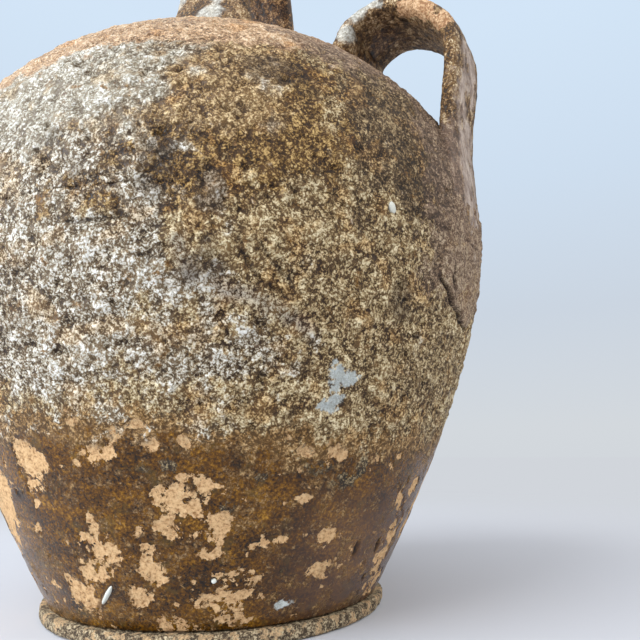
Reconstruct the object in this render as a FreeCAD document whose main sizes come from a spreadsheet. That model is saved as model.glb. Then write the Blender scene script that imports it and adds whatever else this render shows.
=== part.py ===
"""Botijo: a fired clay water jug with a ring handle, a side handle, a filling mouth and a spout.

The origin is the middle of the foot's underside, +Z is up, and the side handle points along +X.
Lengths are in millimetres and angles in degrees.
"""

import FreeCAD, Part

import math
import os

import Sketcher

PARTS_FOLDER = "parts"

# Driving dimensions
DRIVING_SIZES = {
    # The hollow body, thrown as two halves and joined rim to rim
    "body_radius": 130.0,
    "body_height": 270.5,
    "wall": 8.0,
    "floor_thickness": 11.0,
    # The disc that the body stands on, and how far it is proud of the body
    "foot_step": 2.0,
    "foot_height": 5.5,
    "foot_edge": 1.6,
    # The pulled strap at the side, between two slopes of the body's surface
    "side_strap_width": 37.0,
    "side_strap_thickness": 9.5,
    "side_bow": 32.0,
    "side_root_slope": 57.5,
    "side_heel_slope": -20.0,
    # The pulled strap that bridges the top
    "top_strap_width": 33.0,
    "top_strap_thickness": 12.0,
    "top_half_span": 43.5,
    "top_leg_rise": 36.0,
    "top_arch_rise": 58.5,
    "top_bearing": 105.0,
    "top_offset": 10.0,
    # The wide mouth that takes the water in, a gap away from the bridging strap
    "mouth_bearing": 100.0,
    "mouth_gap": 1.2,
    "mouth_tilt": 18.0,
    "mouth_length": 34.0,
    "mouth_bore": 20.0,
    "mouth_wall": 6.5,
    "mouth_lip": 4.5,
    # The narrow spout that the water is poured from
    "spout_bearing": 180.0,
    "spout_tilt": 34.0,
    "spout_length": 54.0,
    "spout_root_radius": 21.0,
    "spout_tip_radius": 9.5,
    "spout_tip_bore": 5.0,
    "spout_wall": 6.0,
    "spout_bead": 2.0,
    # How far a root or a cutting tool runs past the face that it crosses
    "overrun": 20.0,
}

# The oval's proportions, as shares of its height, of its crown or of its radius
WIDEST_SHARE = 0.612
SEAM_SHARE = 0.5545
SHOULDER_SHARE = 0.8
BASE_SHARE = 0.573
BELLY_SHARE = 1.146
FLANK_SHARE = 3.908
SPOUT_REACH_SHARE = 0.64

# The side strap's places, from its root in the shoulder to the end of its tongue on the belly.
# Along runs from the root's slope to the heel's, and off is the distance from the body's surface.
SIDE_ALONG_SHARES = (0.0, 0.0, -0.01, 0.008, 0.04, 0.085, 0.133, 0.185)
SIDE_ALONG_SHARES += (0.245, 0.34, 0.47, 0.63, 0.78, 0.92, 1.0)
SIDE_OFF_SHARES = (-0.28, 0.12, 0.37, 0.65, 0.87, 0.98, 1.0, 0.94)
SIDE_OFF_SHARES += (0.69, 0.33, 0.04, -0.085, -0.085, -0.08, -0.24)
SIDE_WIDTH_SHARES = (1.3, 1.22, 1.1, 1.02, 1.0, 1.0, 1.0, 0.98)
SIDE_WIDTH_SHARES += (0.94, 0.92, 0.98, 1.08, 1.06, 0.78, 0.45)
SIDE_THICKNESS_SHARES = (1.3, 1.15, 1.02, 1.0, 1.0, 1.0, 1.0, 0.98)
SIDE_THICKNESS_SHARES += (0.95, 0.95, 0.95, 1.0, 1.0, 0.9, 0.6)

# The bridging strap's leg, from below the body's surface up to where the arch springs
LEG_HEIGHT_SHARES = (-0.35, 0.04, 0.3, 0.65)
LEG_SPAN_SHARES = (1.08, 1.05, 1.02, 1.0)
LEG_WIDTH_SHARES = (1.35, 1.26, 1.12, 1.03)
LEG_THICKNESS_SHARES = (1.35, 1.2, 1.05, 1.0)
ARCH_STEP_COUNT = 8

# The mouth's rolled lip: how many lips deep its band and the slope under it are, and its rounding
LIP_BAND_SHARE = 2.0
LIP_SLOPE_SHARE = 3.0
LIP_ROUND_SHARE = 0.9

# The spout's trumpet: height up its length, and width between its tip and its root
SPOUT_HEIGHT_SHARES = (0.0, 0.1, 0.28, 0.55, 0.8)
SPOUT_WIDTH_SHARES = (1.0, 0.7, 0.4, 0.16, 0.04)
SPOUT_NARROWS_SHARE = 0.55
BEAD_BAND_SHARE = 2.0
BEAD_SLOPE_SHARE = 3.0

# Sizes that follow from the driving ones
DERIVED_SIZES = {
    "widest_height": f"=body_height * {WIDEST_SHARE}",
    "seam_height": f"=body_height * {SEAM_SHARE}",
    "shoulder_curve": f"=(body_height - widest_height) * {SHOULDER_SHARE}",
    "base_radius": f"=body_radius * {BASE_SHARE}",
    "belly_curve": f"=body_radius * {BELLY_SHARE}",
    "flank_curve": f"=body_radius * {FLANK_SHARE}",
    "foot_radius": "=base_radius + foot_step",
    "leg_root_reach": f"=top_half_span * {LEG_SPAN_SHARES[0]}"
    f" + top_strap_thickness * {LEG_THICKNESS_SHARES[0]} / 2",
    "mouth_reach": "=leg_root_reach + mouth_gap + mouth_bore + mouth_wall + mouth_lip",
    "spout_reach": f"=body_radius * {SPOUT_REACH_SHARE}",
}

# How the sketcher counts the origin, the height axis and the points of a line or an arc
ORIGIN_POINT, HEIGHT_AXIS = range(-1, -3, -1)
START, END, CENTRE = range(1, 4)

UP = FreeCAD.Vector(0, 0, 1)

document = FreeCAD.newDocument("botijo")
sizes = document.addObject("Spreadsheet::Sheet", "sizes")
for row, (alias, size) in enumerate({**DRIVING_SIZES, **DERIVED_SIZES}.items(), start=1):
    sizes.set(f"A{row}", alias)
    sizes.set(f"B{row}", str(size))
    sizes.setAlias(f"B{row}", alias)
document.recompute()


def value(expression):
    """The number that an expression of the sheet's sizes comes to."""
    return float(sizes.evalExpression(str(expression)))


# Sketches and the solids turned from them
def upright_sketch(body, name):
    """A sketch on the body's XZ plane: its first axis is radius and its second is height."""
    plane = next(part for part in body.Origin.OriginFeatures if part.Role == "XZ_Plane")
    sketch = body.newObject("Sketcher::SketchObject", name)
    sketch.AttachmentSupport = [(plane, "")]
    sketch.MapMode = "FlatFace"
    return sketch


def bind(sketch, name, kind, places, expression):
    """Adds a constraint of this name whose number follows the sheet."""
    index = sketch.addConstraint(Sketcher.Constraint(kind, *places, value(expression)))
    sketch.renameConstraint(index, name)
    sketch.setExpression(f"Constraints.{name}", expression)


def join_ends(sketch, pieces, kind="Coincident"):
    """Joins the end of each piece to the start of the next one."""
    for first, second in zip(pieces, pieces[1:]):
        sketch.addConstraint(Sketcher.Constraint(kind, first, END, second, START))


def turn(body, sketch):
    """Turns the sketch round its height axis into the body's solid."""
    turned = body.newObject("PartDesign::Revolution", f"{body.Name}_turned")
    turned.Profile = sketch
    turned.ReferenceAxis = (sketch, ["V_Axis"])
    turned.Angle = 360.0
    document.recompute()


def turned_body(name, corners):
    """A solid turned from a closed outline of straight sides. Each corner is a pair of
    expressions, its radius and its height, and a radius of 0 lies on the axis."""
    body = document.addObject("PartDesign::Body", name)
    sketch = upright_sketch(body, f"{name}_section")
    points = [FreeCAD.Vector(value(radius), value(height), 0) for radius, height in corners]
    sides = [
        sketch.addGeometry(Part.LineSegment(point, after))
        for point, after in zip(points, points[1:] + points[:1])
    ]
    join_ends(sketch, sides + sides[:1])
    for side, (radius, height) in zip(sides, corners):
        place = (ORIGIN_POINT, START, side, START)
        bind(sketch, f"height_{side}", "DistanceY", place, height)
        if radius == "0":
            sketch.addConstraint(Sketcher.Constraint("PointOnObject", side, START, HEIGHT_AXIS))
        else:
            bind(sketch, f"radius_{side}", "DistanceX", place, radius)
    turn(body, sketch)
    return body


def round_edges(body, name, radius, is_wanted):
    """Rounds the body's wanted edges with a radius that follows the sheet."""
    base = body.Tip
    wanted = [
        f"Edge{index}" for index, edge in enumerate(base.Shape.Edges, start=1) if is_wanted(edge)
    ]
    rounded = body.newObject("PartDesign::Fillet", name)
    rounded.Base = (base, wanted)
    rounded.setExpression("Radius", radius)
    document.recompute()


# The body's oval: flank, belly, shoulder and dome arcs, each tangent to the next
def oval_arcs(inset, base, base_height):
    """Each arc as its centre, its radius and its two ends, going up the outline."""
    widest = value("sizes.widest_height")
    radius = value("sizes.body_radius") - inset
    top = value("sizes.body_height") - inset
    flank, belly, shoulder = (
        value(f"sizes.{part}_curve") - inset for part in ("flank", "belly", "shoulder")
    )
    crown = top - widest
    dome = (radius**2 + crown**2 - 2 * radius * shoulder) / (2 * (crown - shoulder))
    widest_point = FreeCAD.Vector(radius, widest, 0)
    shoulder_centre = FreeCAD.Vector(radius - shoulder, widest, 0)
    dome_centre = FreeCAD.Vector(0, top - dome, 0)
    dome_meets = dome_centre + (shoulder_centre - dome_centre).normalize() * dome
    belly_centre = FreeCAD.Vector(radius - belly, widest, 0)
    heel = FreeCAD.Vector(base, base_height, 0)
    to_heel = heel - belly_centre
    apart = flank - belly
    along = (apart**2 - flank**2 + to_heel.Length**2) / (2 * to_heel.Length)
    aside = math.sqrt(apart**2 - along**2)
    to_heel.normalize()
    flank_centre = belly_centre + to_heel * along + to_heel.cross(UP) * aside
    flank_meets = belly_centre + (belly_centre - flank_centre).normalize() * belly
    return {
        "flank": (flank_centre, flank, heel, flank_meets),
        "belly": (belly_centre, belly, flank_meets, widest_point),
        "shoulder": (shoulder_centre, shoulder, widest_point, dome_meets),
        "dome": (dome_centre, dome, dome_meets, FreeCAD.Vector(0, top, 0)),
    }


def arc_between(centre, radius, first, last):
    """The arc of a sketch that runs anticlockwise from first to last."""
    angles = [math.atan2(point.y - centre.y, point.x - centre.x) for point in (first, last)]
    return Part.ArcOfCircle(Part.Circle(centre, UP, radius), *angles)


def oval_body(name, less, base, base_height):
    """A solid of the oval. less is what each of its curves is drawn in by."""
    body = document.addObject("PartDesign::Body", name)
    sketch = upright_sketch(body, f"{name}_outline")
    arcs = oval_arcs(value(less), value(base), value(base_height))
    curves = {part: sketch.addGeometry(arc_between(*arc)) for part, arc in arcs.items()}
    heel, top = arcs["flank"][2], arcs["dome"][3]
    foot = FreeCAD.Vector(0, heel.y, 0)
    axis = sketch.addGeometry(Part.LineSegment(top, foot))
    floor = sketch.addGeometry(Part.LineSegment(foot, heel))
    join_ends(sketch, list(curves.values()), "Tangent")
    join_ends(sketch, [curves["dome"], axis, floor, curves["flank"]])
    sketch.addConstraint(Sketcher.Constraint("Vertical", axis))
    sketch.addConstraint(Sketcher.Constraint("Horizontal", floor))
    for place in ((curves["dome"], CENTRE), (axis, START)):
        sketch.addConstraint(Sketcher.Constraint("PointOnObject", *place, HEIGHT_AXIS))
    origin = (ORIGIN_POINT, START)
    belly, flank = curves["belly"], curves["flank"]
    bind(
        sketch, "widest_radius", "DistanceX", (*origin, belly, END), f"sizes.body_radius - {less}"
    )
    bind(sketch, "widest_height", "DistanceY", (*origin, belly, END), "sizes.widest_height")
    bind(sketch, "belly_middle", "DistanceY", (*origin, belly, CENTRE), "sizes.widest_height")
    bind(sketch, "top_height", "DistanceY", (*origin, axis, START), f"sizes.body_height - {less}")
    bind(sketch, "heel_radius", "DistanceX", (*origin, flank, START), base)
    bind(sketch, "heel_height", "DistanceY", (*origin, flank, START), base_height)
    for part in ("flank", "belly", "shoulder"):
        bind(sketch, f"{part}_radius", "Radius", (curves[part],), f"sizes.{part}_curve - {less}")
    turn(body, sketch)
    return body


outer_form = oval_body("outer_form", "0", "sizes.base_radius", "sizes.foot_height")
hollow_form = oval_body(
    "hollow_form",
    "sizes.wall",
    "sizes.base_radius - sizes.wall",
    "sizes.foot_height + sizes.floor_thickness",
)
SURFACE = oval_arcs(0, value("sizes.base_radius"), value("sizes.foot_height"))


def on_surface(slope, off=0.0):
    """A point of the body's upright section, as radius and height, with its way outwards.
    slope is the angle of that way above the horizontal, and off the distance along it."""
    outwards = FreeCAD.Vector(math.cos(math.radians(slope)), math.sin(math.radians(slope)), 0)
    for part in ("dome", "shoulder", "belly", "flank"):
        centre, radius, low_end, _ = SURFACE[part]
        low_slope = math.degrees(math.atan2(low_end.y - centre.y, low_end.x - centre.x))
        if slope >= low_slope:
            break
    return centre + outwards * (radius + off), outwards


def slope_at(reach):
    """The slope of the body's surface above its widest place, at this radius."""
    part = "dome" if reach < SURFACE["dome"][2].x else "shoulder"
    centre, radius, _, _ = SURFACE[part]
    return math.degrees(math.acos((reach - centre.x) / radius))


# Joining and cutting whole solids
def combine(kind, name, base, tool):
    """A Part::Cut or a Part::Common of two objects."""
    result = document.addObject(f"Part::{kind}", name)
    result.Base = base
    result.Tool = tool
    return result


def upright_cylinder(name, radius, height, base_height):
    """A cylinder on the body's axis. Its three sizes are expressions."""
    tool = document.addObject("Part::Cylinder", name)
    tool.setExpression("Radius", radius)
    tool.setExpression("Height", height)
    tool.setExpression("Placement.Base.z", base_height)
    return tool


# The foot disc
foot_disc = turned_body(
    "foot_disc",
    [
        ("0", "0"),
        ("sizes.foot_radius", "0"),
        ("sizes.foot_radius", "sizes.foot_height"),
        ("0", "sizes.foot_height"),
    ],
)
round_edges(foot_disc, "worn_edge", "sizes.foot_edge", lambda edge: edge.isClosed())

# The two halves of the hollow body
whole_shell = combine("Cut", "whole_shell", outer_form, hollow_form)
past_body = "sizes.body_radius + sizes.overrun"
below_seam = upright_cylinder("below_seam", past_body, "sizes.seam_height", "0")
above_seam = upright_cylinder("above_seam", past_body, "sizes.body_height", "sizes.seam_height")
lower_body = combine("Common", "lower_body", whole_shell, below_seam)
upper_half = combine("Common", "upper_half", whole_shell, above_seam)


# The mouth and the spout: turned collars whose roots are cut to the body's surface
def stand_on_shoulder(item, part):
    """Stands an item on the body at the bearing, reach and tilt of this part."""
    bearing = FreeCAD.Rotation(UP, value(f"sizes.{part}_bearing"))
    lean = FreeCAD.Rotation(FreeCAD.Vector(0, 1, 0), value(f"sizes.{part}_tilt"))
    point, _ = on_surface(slope_at(value(f"sizes.{part}_reach")))
    place = bearing.multVec(FreeCAD.Vector(point.x, 0, point.y))
    item.Placement = FreeCAD.Placement(place, bearing * lean)


def bore_tool(part, radius):
    """The round hole through the body's wall under this part."""
    tool = document.addObject("Part::Cylinder", f"{part}_bore_tool")
    tool.setExpression("Radius", radius)
    tool.setExpression("Height", "2 * (sizes.wall + sizes.overrun)")
    stand_on_shoulder(tool, part)
    middle = FreeCAD.Vector(0, 0, value("sizes.wall + sizes.overrun"))
    tool.Placement = tool.Placement * FreeCAD.Placement(-middle, FreeCAD.Rotation())
    return tool


mouth_outside = "sizes.mouth_bore + sizes.mouth_wall"
lip_outside = f"{mouth_outside} + sizes.mouth_lip"
mouth_collar = turned_body(
    "mouth_collar",
    [
        ("sizes.mouth_bore", "-sizes.overrun"),
        (lip_outside, "-sizes.overrun"),
        (lip_outside, "0"),
        (mouth_outside, "sizes.mouth_lip"),
        (mouth_outside, f"sizes.mouth_length - {LIP_SLOPE_SHARE} * sizes.mouth_lip"),
        (lip_outside, f"sizes.mouth_length - {LIP_BAND_SHARE} * sizes.mouth_lip"),
        (lip_outside, "sizes.mouth_length"),
        ("sizes.mouth_bore", "sizes.mouth_length"),
    ],
)
round_edges(
    mouth_collar,
    "rolled_lip",
    f"{LIP_ROUND_SHARE} * sizes.mouth_lip",
    lambda edge: edge.isClosed()
    and edge.BoundBox.ZMin > value("sizes.mouth_length - sizes.mouth_lip"),
)
stand_on_shoulder(mouth_collar, "mouth")
filling_mouth = combine("Cut", "filling_mouth", mouth_collar, outer_form)

spout_inside = "sizes.spout_root_radius - sizes.spout_wall"
bead_outside = "sizes.spout_tip_radius + sizes.spout_bead"
spout_sides = [
    (
        f"sizes.spout_tip_radius + {width} * (sizes.spout_root_radius - sizes.spout_tip_radius)",
        f"{height} * sizes.spout_length",
    )
    for height, width in zip(SPOUT_HEIGHT_SHARES, SPOUT_WIDTH_SHARES)
]
spout_cone = turned_body(
    "spout_cone",
    [
        (spout_inside, "-sizes.overrun"),
        ("sizes.spout_root_radius", "-sizes.overrun"),
        *spout_sides,
        ("sizes.spout_tip_radius", f"sizes.spout_length - {BEAD_SLOPE_SHARE} * sizes.spout_bead"),
        (bead_outside, f"sizes.spout_length - {BEAD_BAND_SHARE} * sizes.spout_bead"),
        (bead_outside, "sizes.spout_length"),
        ("sizes.spout_tip_bore", "sizes.spout_length"),
        ("sizes.spout_tip_bore", f"{SPOUT_NARROWS_SHARE} * sizes.spout_length"),
        (spout_inside, "0"),
    ],
)
stand_on_shoulder(spout_cone, "spout")
spout = combine("Cut", "spout", spout_cone, outer_form)

mouth_bore_tool = bore_tool("mouth", "sizes.mouth_bore")
spout_bore_tool = bore_tool("spout", spout_inside)
vented_half = combine("Cut", "vented_half", upper_half, mouth_bore_tool)
upper_body = combine("Cut", "upper_body", vented_half, spout_bore_tool)


# The pulled straps: lofts through flat sections with round edges, along a line in one upright plane
def strap_section(name, width, thickness):
    """A sketch of the strap's section. width and thickness are expressions."""
    sketch = document.addObject("Sketcher::SketchObject", name)
    edge = value(thickness) / 2
    flat = value(width) / 2 - edge
    over = Part.LineSegment(FreeCAD.Vector(flat, edge, 0), FreeCAD.Vector(-flat, edge, 0))
    under = Part.LineSegment(FreeCAD.Vector(-flat, -edge, 0), FreeCAD.Vector(flat, -edge, 0))
    left = Part.ArcOfCircle(
        Part.Circle(FreeCAD.Vector(-flat, 0, 0), UP, edge), math.pi / 2, math.pi * 3 / 2
    )
    right = Part.ArcOfCircle(
        Part.Circle(FreeCAD.Vector(flat, 0, 0), UP, edge), -math.pi / 2, math.pi / 2
    )
    pieces = [sketch.addGeometry(piece) for piece in (over, left, under, right)]
    join_ends(sketch, pieces + pieces[:1], "Tangent")
    top, near, _, far = pieces
    sketch.addConstraint(Sketcher.Constraint("Horizontal", top))
    sketch.addConstraint(Sketcher.Constraint("Equal", near, far))
    middle = (near, CENTRE, far, CENTRE, ORIGIN_POINT, START)
    sketch.addConstraint(Sketcher.Constraint("Symmetric", *middle))
    bind(sketch, "edge_radius", "Radius", (near,), f"({thickness}) / 2")
    bind(sketch, "flat_width", "DistanceX", (top, END, top, START), f"{width} - ({thickness})")
    return sketch


def strap(name, bearing, offset, line, widths, thicknesses):
    """A strap whose middle follows line, pairs of radius and height at this bearing.
    offset is how far its plane passes the body's axis, on the right of the bearing."""
    plane = FreeCAD.Rotation(UP, bearing)
    points = [plane.multVec(FreeCAD.Vector(radius, -offset, height)) for radius, height in line]
    across = plane.multVec(FreeCAD.Vector(0, 1, 0))
    sections = []
    for index, point in enumerate(points):
        before, after = points[max(index - 1, 0)], points[min(index + 1, len(points) - 1)]
        along = (after - before).normalize()
        section = strap_section(f"{name}_section_{index}", widths[index], thicknesses[index])
        facing = FreeCAD.Rotation(across, along.cross(across), along, "ZXY")
        section.Placement = FreeCAD.Placement(point, facing)
        sections.append(section)
    loft = document.addObject("Part::Loft", f"{name}_loft")
    loft.Sections = sections
    loft.Solid = True
    loft.MaxDegree = 3
    return loft


def follow(size_name, shares):
    """One expression for each share of this size."""
    return [f"{share} * sizes.{size_name}" for share in shares]


side_slopes = [
    value(f"sizes.side_root_slope + {share} * (sizes.side_heel_slope - sizes.side_root_slope)")
    for share in SIDE_ALONG_SHARES
]
side_points = [
    on_surface(slope, value(f"{share} * sizes.side_bow"))[0]
    for slope, share in zip(side_slopes, SIDE_OFF_SHARES)
]
side_strap = strap(
    "side_strap",
    0,
    0,
    [(point.x, point.y) for point in side_points],
    follow("side_strap_width", SIDE_WIDTH_SHARES),
    follow("side_strap_thickness", SIDE_THICKNESS_SHARES),
)
side_handle = combine("Cut", "side_handle", side_strap, outer_form)


def top_line():
    """The bridging strap's middle line: up one leg, round the arch and down the other leg."""
    half_span = value("sizes.top_half_span")
    spring = value("sizes.body_height + sizes.top_leg_rise")
    arch_rise = value("sizes.top_arch_rise")
    dome_centre, dome, _, _ = SURFACE["dome"]
    foot = dome_centre.y + math.sqrt(dome**2 - half_span**2)
    leg = [
        (half_span * span_share, foot + (spring - foot) * height_share)
        for height_share, span_share in zip(LEG_HEIGHT_SHARES, LEG_SPAN_SHARES)
    ]
    turns = [math.pi * step / ARCH_STEP_COUNT for step in range(ARCH_STEP_COUNT + 1)]
    arch = [
        (half_span * math.cos(angle), spring + arch_rise * math.sin(angle)) for angle in turns
    ]
    other_leg = [(-span, height) for span, height in reversed(leg)]
    return leg + arch + other_leg


arch_shares = (1.0,) * (ARCH_STEP_COUNT + 1)
top_strap = strap(
    "top_strap",
    value("sizes.top_bearing"),
    value("sizes.top_offset"),
    top_line(),
    follow("top_strap_width", LEG_WIDTH_SHARES + arch_shares + LEG_WIDTH_SHARES[::-1]),
    follow("top_strap_thickness", LEG_THICKNESS_SHARES + arch_shares + LEG_THICKNESS_SHARES[::-1]),
)
top_handle = combine("Cut", "top_handle", top_strap, outer_form)

# Checking and writing each piece
PIECES = {
    "foot_disc": foot_disc,
    "lower_body": lower_body,
    "upper_body": upper_body,
    "filling_mouth": filling_mouth,
    "spout": spout,
    "top_handle": top_handle,
    "side_handle": side_handle,
}
document.recompute()
for item in document.Objects:
    if "Invalid" in item.State or "Error" in item.State:
        raise RuntimeError(f"{item.Name} is {item.State}")
os.makedirs(PARTS_FOLDER, exist_ok=True)
for label, piece in PIECES.items():
    piece.Label = label
    shape = piece.Shape
    if shape.isNull() or not shape.isValid() or not shape.Solids:
        raise RuntimeError(f"{label} has no valid solid")
    shape.exportStep(f"{PARTS_FOLDER}/{label}.step")
    print(label, len(shape.Solids), "solid", round(shape.Volume), "mm3", shape.BoundBox)
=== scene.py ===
# %% [markdown]
# # A weathered clay water jug
#
# The real jug was thrown on a wheel as two bowls, joined rim to rim, and dressed with pulled
# straps, a mouth and a spout. Its lower part was dipped in a honey-brown glaze. The whole wall is
# then crusted, flaked and stained by years of use.
#
# In Blender we keep the measured solids as a frame and put a richer skin over each of them. We work
# in millimetres, because that is how a potter thinks, and turn them into metres only when a mesh is
# made.

import math

import bpy
import numpy as np
from mathutils import Matrix, Vector


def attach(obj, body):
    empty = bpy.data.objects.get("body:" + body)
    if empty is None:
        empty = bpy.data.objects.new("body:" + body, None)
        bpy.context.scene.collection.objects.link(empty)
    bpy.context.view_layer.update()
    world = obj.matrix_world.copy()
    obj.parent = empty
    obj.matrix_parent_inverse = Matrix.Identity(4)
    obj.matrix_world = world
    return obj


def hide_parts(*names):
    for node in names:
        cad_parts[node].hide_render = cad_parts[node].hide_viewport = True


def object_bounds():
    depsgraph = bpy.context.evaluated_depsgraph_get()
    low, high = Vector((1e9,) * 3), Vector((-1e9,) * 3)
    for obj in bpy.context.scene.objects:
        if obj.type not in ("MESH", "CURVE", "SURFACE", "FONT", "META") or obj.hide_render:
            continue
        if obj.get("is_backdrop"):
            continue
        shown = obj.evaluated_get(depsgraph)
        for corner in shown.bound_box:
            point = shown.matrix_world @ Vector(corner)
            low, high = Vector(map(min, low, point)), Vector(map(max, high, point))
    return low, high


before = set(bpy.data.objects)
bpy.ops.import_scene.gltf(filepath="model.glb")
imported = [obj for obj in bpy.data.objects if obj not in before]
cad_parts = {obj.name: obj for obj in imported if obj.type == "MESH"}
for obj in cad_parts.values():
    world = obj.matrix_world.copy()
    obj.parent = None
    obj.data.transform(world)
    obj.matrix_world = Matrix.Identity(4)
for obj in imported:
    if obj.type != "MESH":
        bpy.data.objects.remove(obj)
cad_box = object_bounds()
MM = 0.001
print("measured pieces:", ", ".join(sorted(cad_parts)))

# %% [markdown]
# ## The line of the wall
#
# A thrown wall is round in plan, so its whole shape is one upright line. Here that line is four
# arcs: flank, belly, shoulder and dome. Each arc is tangent to the next, as the potter's rib leaves
# them. A formula is better than a drawn curve for this, because the same line then places the
# straps, the mouth and every mark on the wall.

# %% Flank, belly, shoulder and dome
ARCS = {  # centre radius, centre height, curve radius, lowest slope of the surface
    "dome": (0.0, 125.5, 145.0, 40.8),
    "shoulder": (46.0, 165.5, 84.0, 0.0),
    "belly": (-19.0, 165.5, 149.0, -15.45),
    "flank": (-365.0, 261.1, 508.0, -90.0),
}
SEAM_HEIGHT = 150.0
BASE_HEIGHT = 5.5
WALL = 8.0
BODY_RADIUS = 130.0
DOME_CENTRE, DOME_RADIUS = ARCS["dome"][1:3]
BODY_TOP = DOME_CENTRE + DOME_RADIUS


def wall_point(slope, off=0.0):
    """Radius and height of the wall where its surface looks this far above the horizontal."""
    for reach, height, curve, lowest in ARCS.values():
        if slope >= lowest:
            break
    turn = math.radians(slope)
    return reach + (curve + off) * math.cos(turn), height + (curve + off) * math.sin(turn)


def off_wall(points):
    """Each point's distance from the wall's surface, and the way straight out of the wall."""
    radius = np.hypot(points[:, 0], points[:, 1])
    off = np.zeros(len(points))
    slope = np.zeros(len(points))
    done = np.zeros(len(points), bool)
    for reach, height, curve, lowest in ARCS.values():
        across, up = radius - reach, points[:, 2] - height
        angle = np.degrees(np.arctan2(up, across))
        mine = ~done & (angle >= lowest)
        off[mine] = np.hypot(across, up)[mine] - curve
        slope[mine] = angle[mine]
        done |= mine
    turn = np.radians(slope)
    round_axis = points[:, :2] / np.maximum(radius, 1e-6)[:, None]
    way = np.column_stack([round_axis * np.cos(turn)[:, None], np.sin(turn)])
    return off, way


widest, top = wall_point(0)[0], wall_point(90)[1]
print("the wall is", round(2 * widest), "mm across and its top is at", round(top, 1))

# %% [markdown]
# ## A grain to work with
#
# Fired clay is never even. To shape real relief we need a random field that is smooth, that has a
# size in millimetres, and that comes out the same on every run. The classic recipe is lattice
# noise: give each corner of a grid a random number and ease between them. Adding finer grids on
# top makes it fractal. Doing it in numpy lets us treat all points of a wall at once.

# %% Lattice noise
def scramble(corner, seed):
    """A random number from -1 to 1 for each whole-number corner."""
    key = corner @ np.array([374761393, 668265263, 1103515245]) + seed * 144269504
    key &= 0xFFFFFFFF
    key = (key ^ (key >> 13)) * 1274126177 & 0xFFFFFFFF
    return ((key ^ (key >> 16)) & 0xFFFF) / 32767.5 - 1.0


def grain(points, size, seed):
    """Smooth noise from -1 to 1 whose features are about this many millimetres wide."""
    tilt = np.array([[0.36, 0.48, -0.8], [-0.8, 0.6, 0.0], [0.48, 0.64, 0.6]])
    places = points @ tilt / size + seed * 7.13
    low = np.floor(places)
    part = places - low
    part = part * part * (3.0 - 2.0 * part)
    low = low.astype(np.int64)
    total = np.zeros(len(points))
    for step in range(8):
        side = np.array([step & 1, step >> 1 & 1, step >> 2 & 1])
        weight = np.prod(np.where(side, part, 1.0 - part), axis=1)
        total += weight * scramble(low + side, seed)
    return total


def rough(points, size, octaves, seed):
    """Fractal noise: each octave is half as wide and half as strong as the one before."""
    total = np.zeros(len(points))
    for octave in range(octaves):
        total += grain(points, size / 2**octave, seed + octave) / 2**octave
    return total


def ease(field, low, high):
    """0 below low, 1 above high and a smooth step between them."""
    share = np.clip((field - low) / (high - low), 0.0, 1.0)
    return share * share * (3.0 - 2.0 * share)


print("grain of one point:", round(float(grain(np.array([[10.0, 20.0, 30.0]]), 5.0, 1)[0]), 3))

# %% [markdown]
# ## Marks on the wall
#
# Chips, flakes and pits sit at places that anyone can point to: so far round the jug and so high.
# We measure them that way, with the bearing in degrees from the side strap and the height in
# millimetres. A spot is an ellipse that fades from its middle to its edge. A scratch is a soft
# line through a few such places.

# %% Spots and scratches
def round_wall(points):
    """Bearing in degrees and radius of each point."""
    return (
        np.degrees(np.arctan2(points[:, 1], points[:, 0])),
        np.hypot(points[:, 0], points[:, 1]),
    )


def spot(points, bearing, height, half_wide, half_high):
    """1 in the middle of an ellipse on the wall, 0 at its edge and below 0 outside it."""
    bearings, radius = round_wall(points)
    apart = (bearings - bearing + 180.0) % 360.0 - 180.0
    wide = np.radians(apart) * radius
    return 1.0 - np.hypot(wide / half_wide, (points[:, 2] - height) / half_high)


def spots(points, places):
    """The highest value of several spots, and not under -1."""
    inside = np.full(len(points), -1.0)
    for place in places:
        inside = np.maximum(inside, spot(points, *place))
    return inside


def scratch(points, places, half_wide):
    """1 on a line through these places (bearing, height), fading to 0 at half_wide from it."""
    bearings, radius = round_wall(points)
    nearest = np.full(len(points), 1e9)
    for (b0, z0), (b1, z1) in zip(places, places[1:]):
        middle = radius * math.pi / 180.0
        start = np.column_stack([(bearings - b0) * middle, points[:, 2] - z0])
        way = np.column_stack([(b1 - b0) * middle, np.full(len(points), z1 - z0)])
        share = np.clip((start * way).sum(1) / (way * way).sum(1), 0.0, 1.0)
        nearest = np.minimum(nearest, np.linalg.norm(start - way * share[:, None], axis=1))
    return np.clip(1.0 - nearest / half_wide, 0.0, 1.0)


# %% [markdown]
# ## Where the glaze has flaked off
#
# The glaze is a glassy coat a third of a millimetre thick, and it has come off the lower wall in
# lobed islands that show the buff clay. Each island is a few overlapping spots whose edge is eaten
# by noise. The rest of the lower wall gets its islands from noise alone, so the jug looks the
# same sort of worn all the way round.

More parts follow.
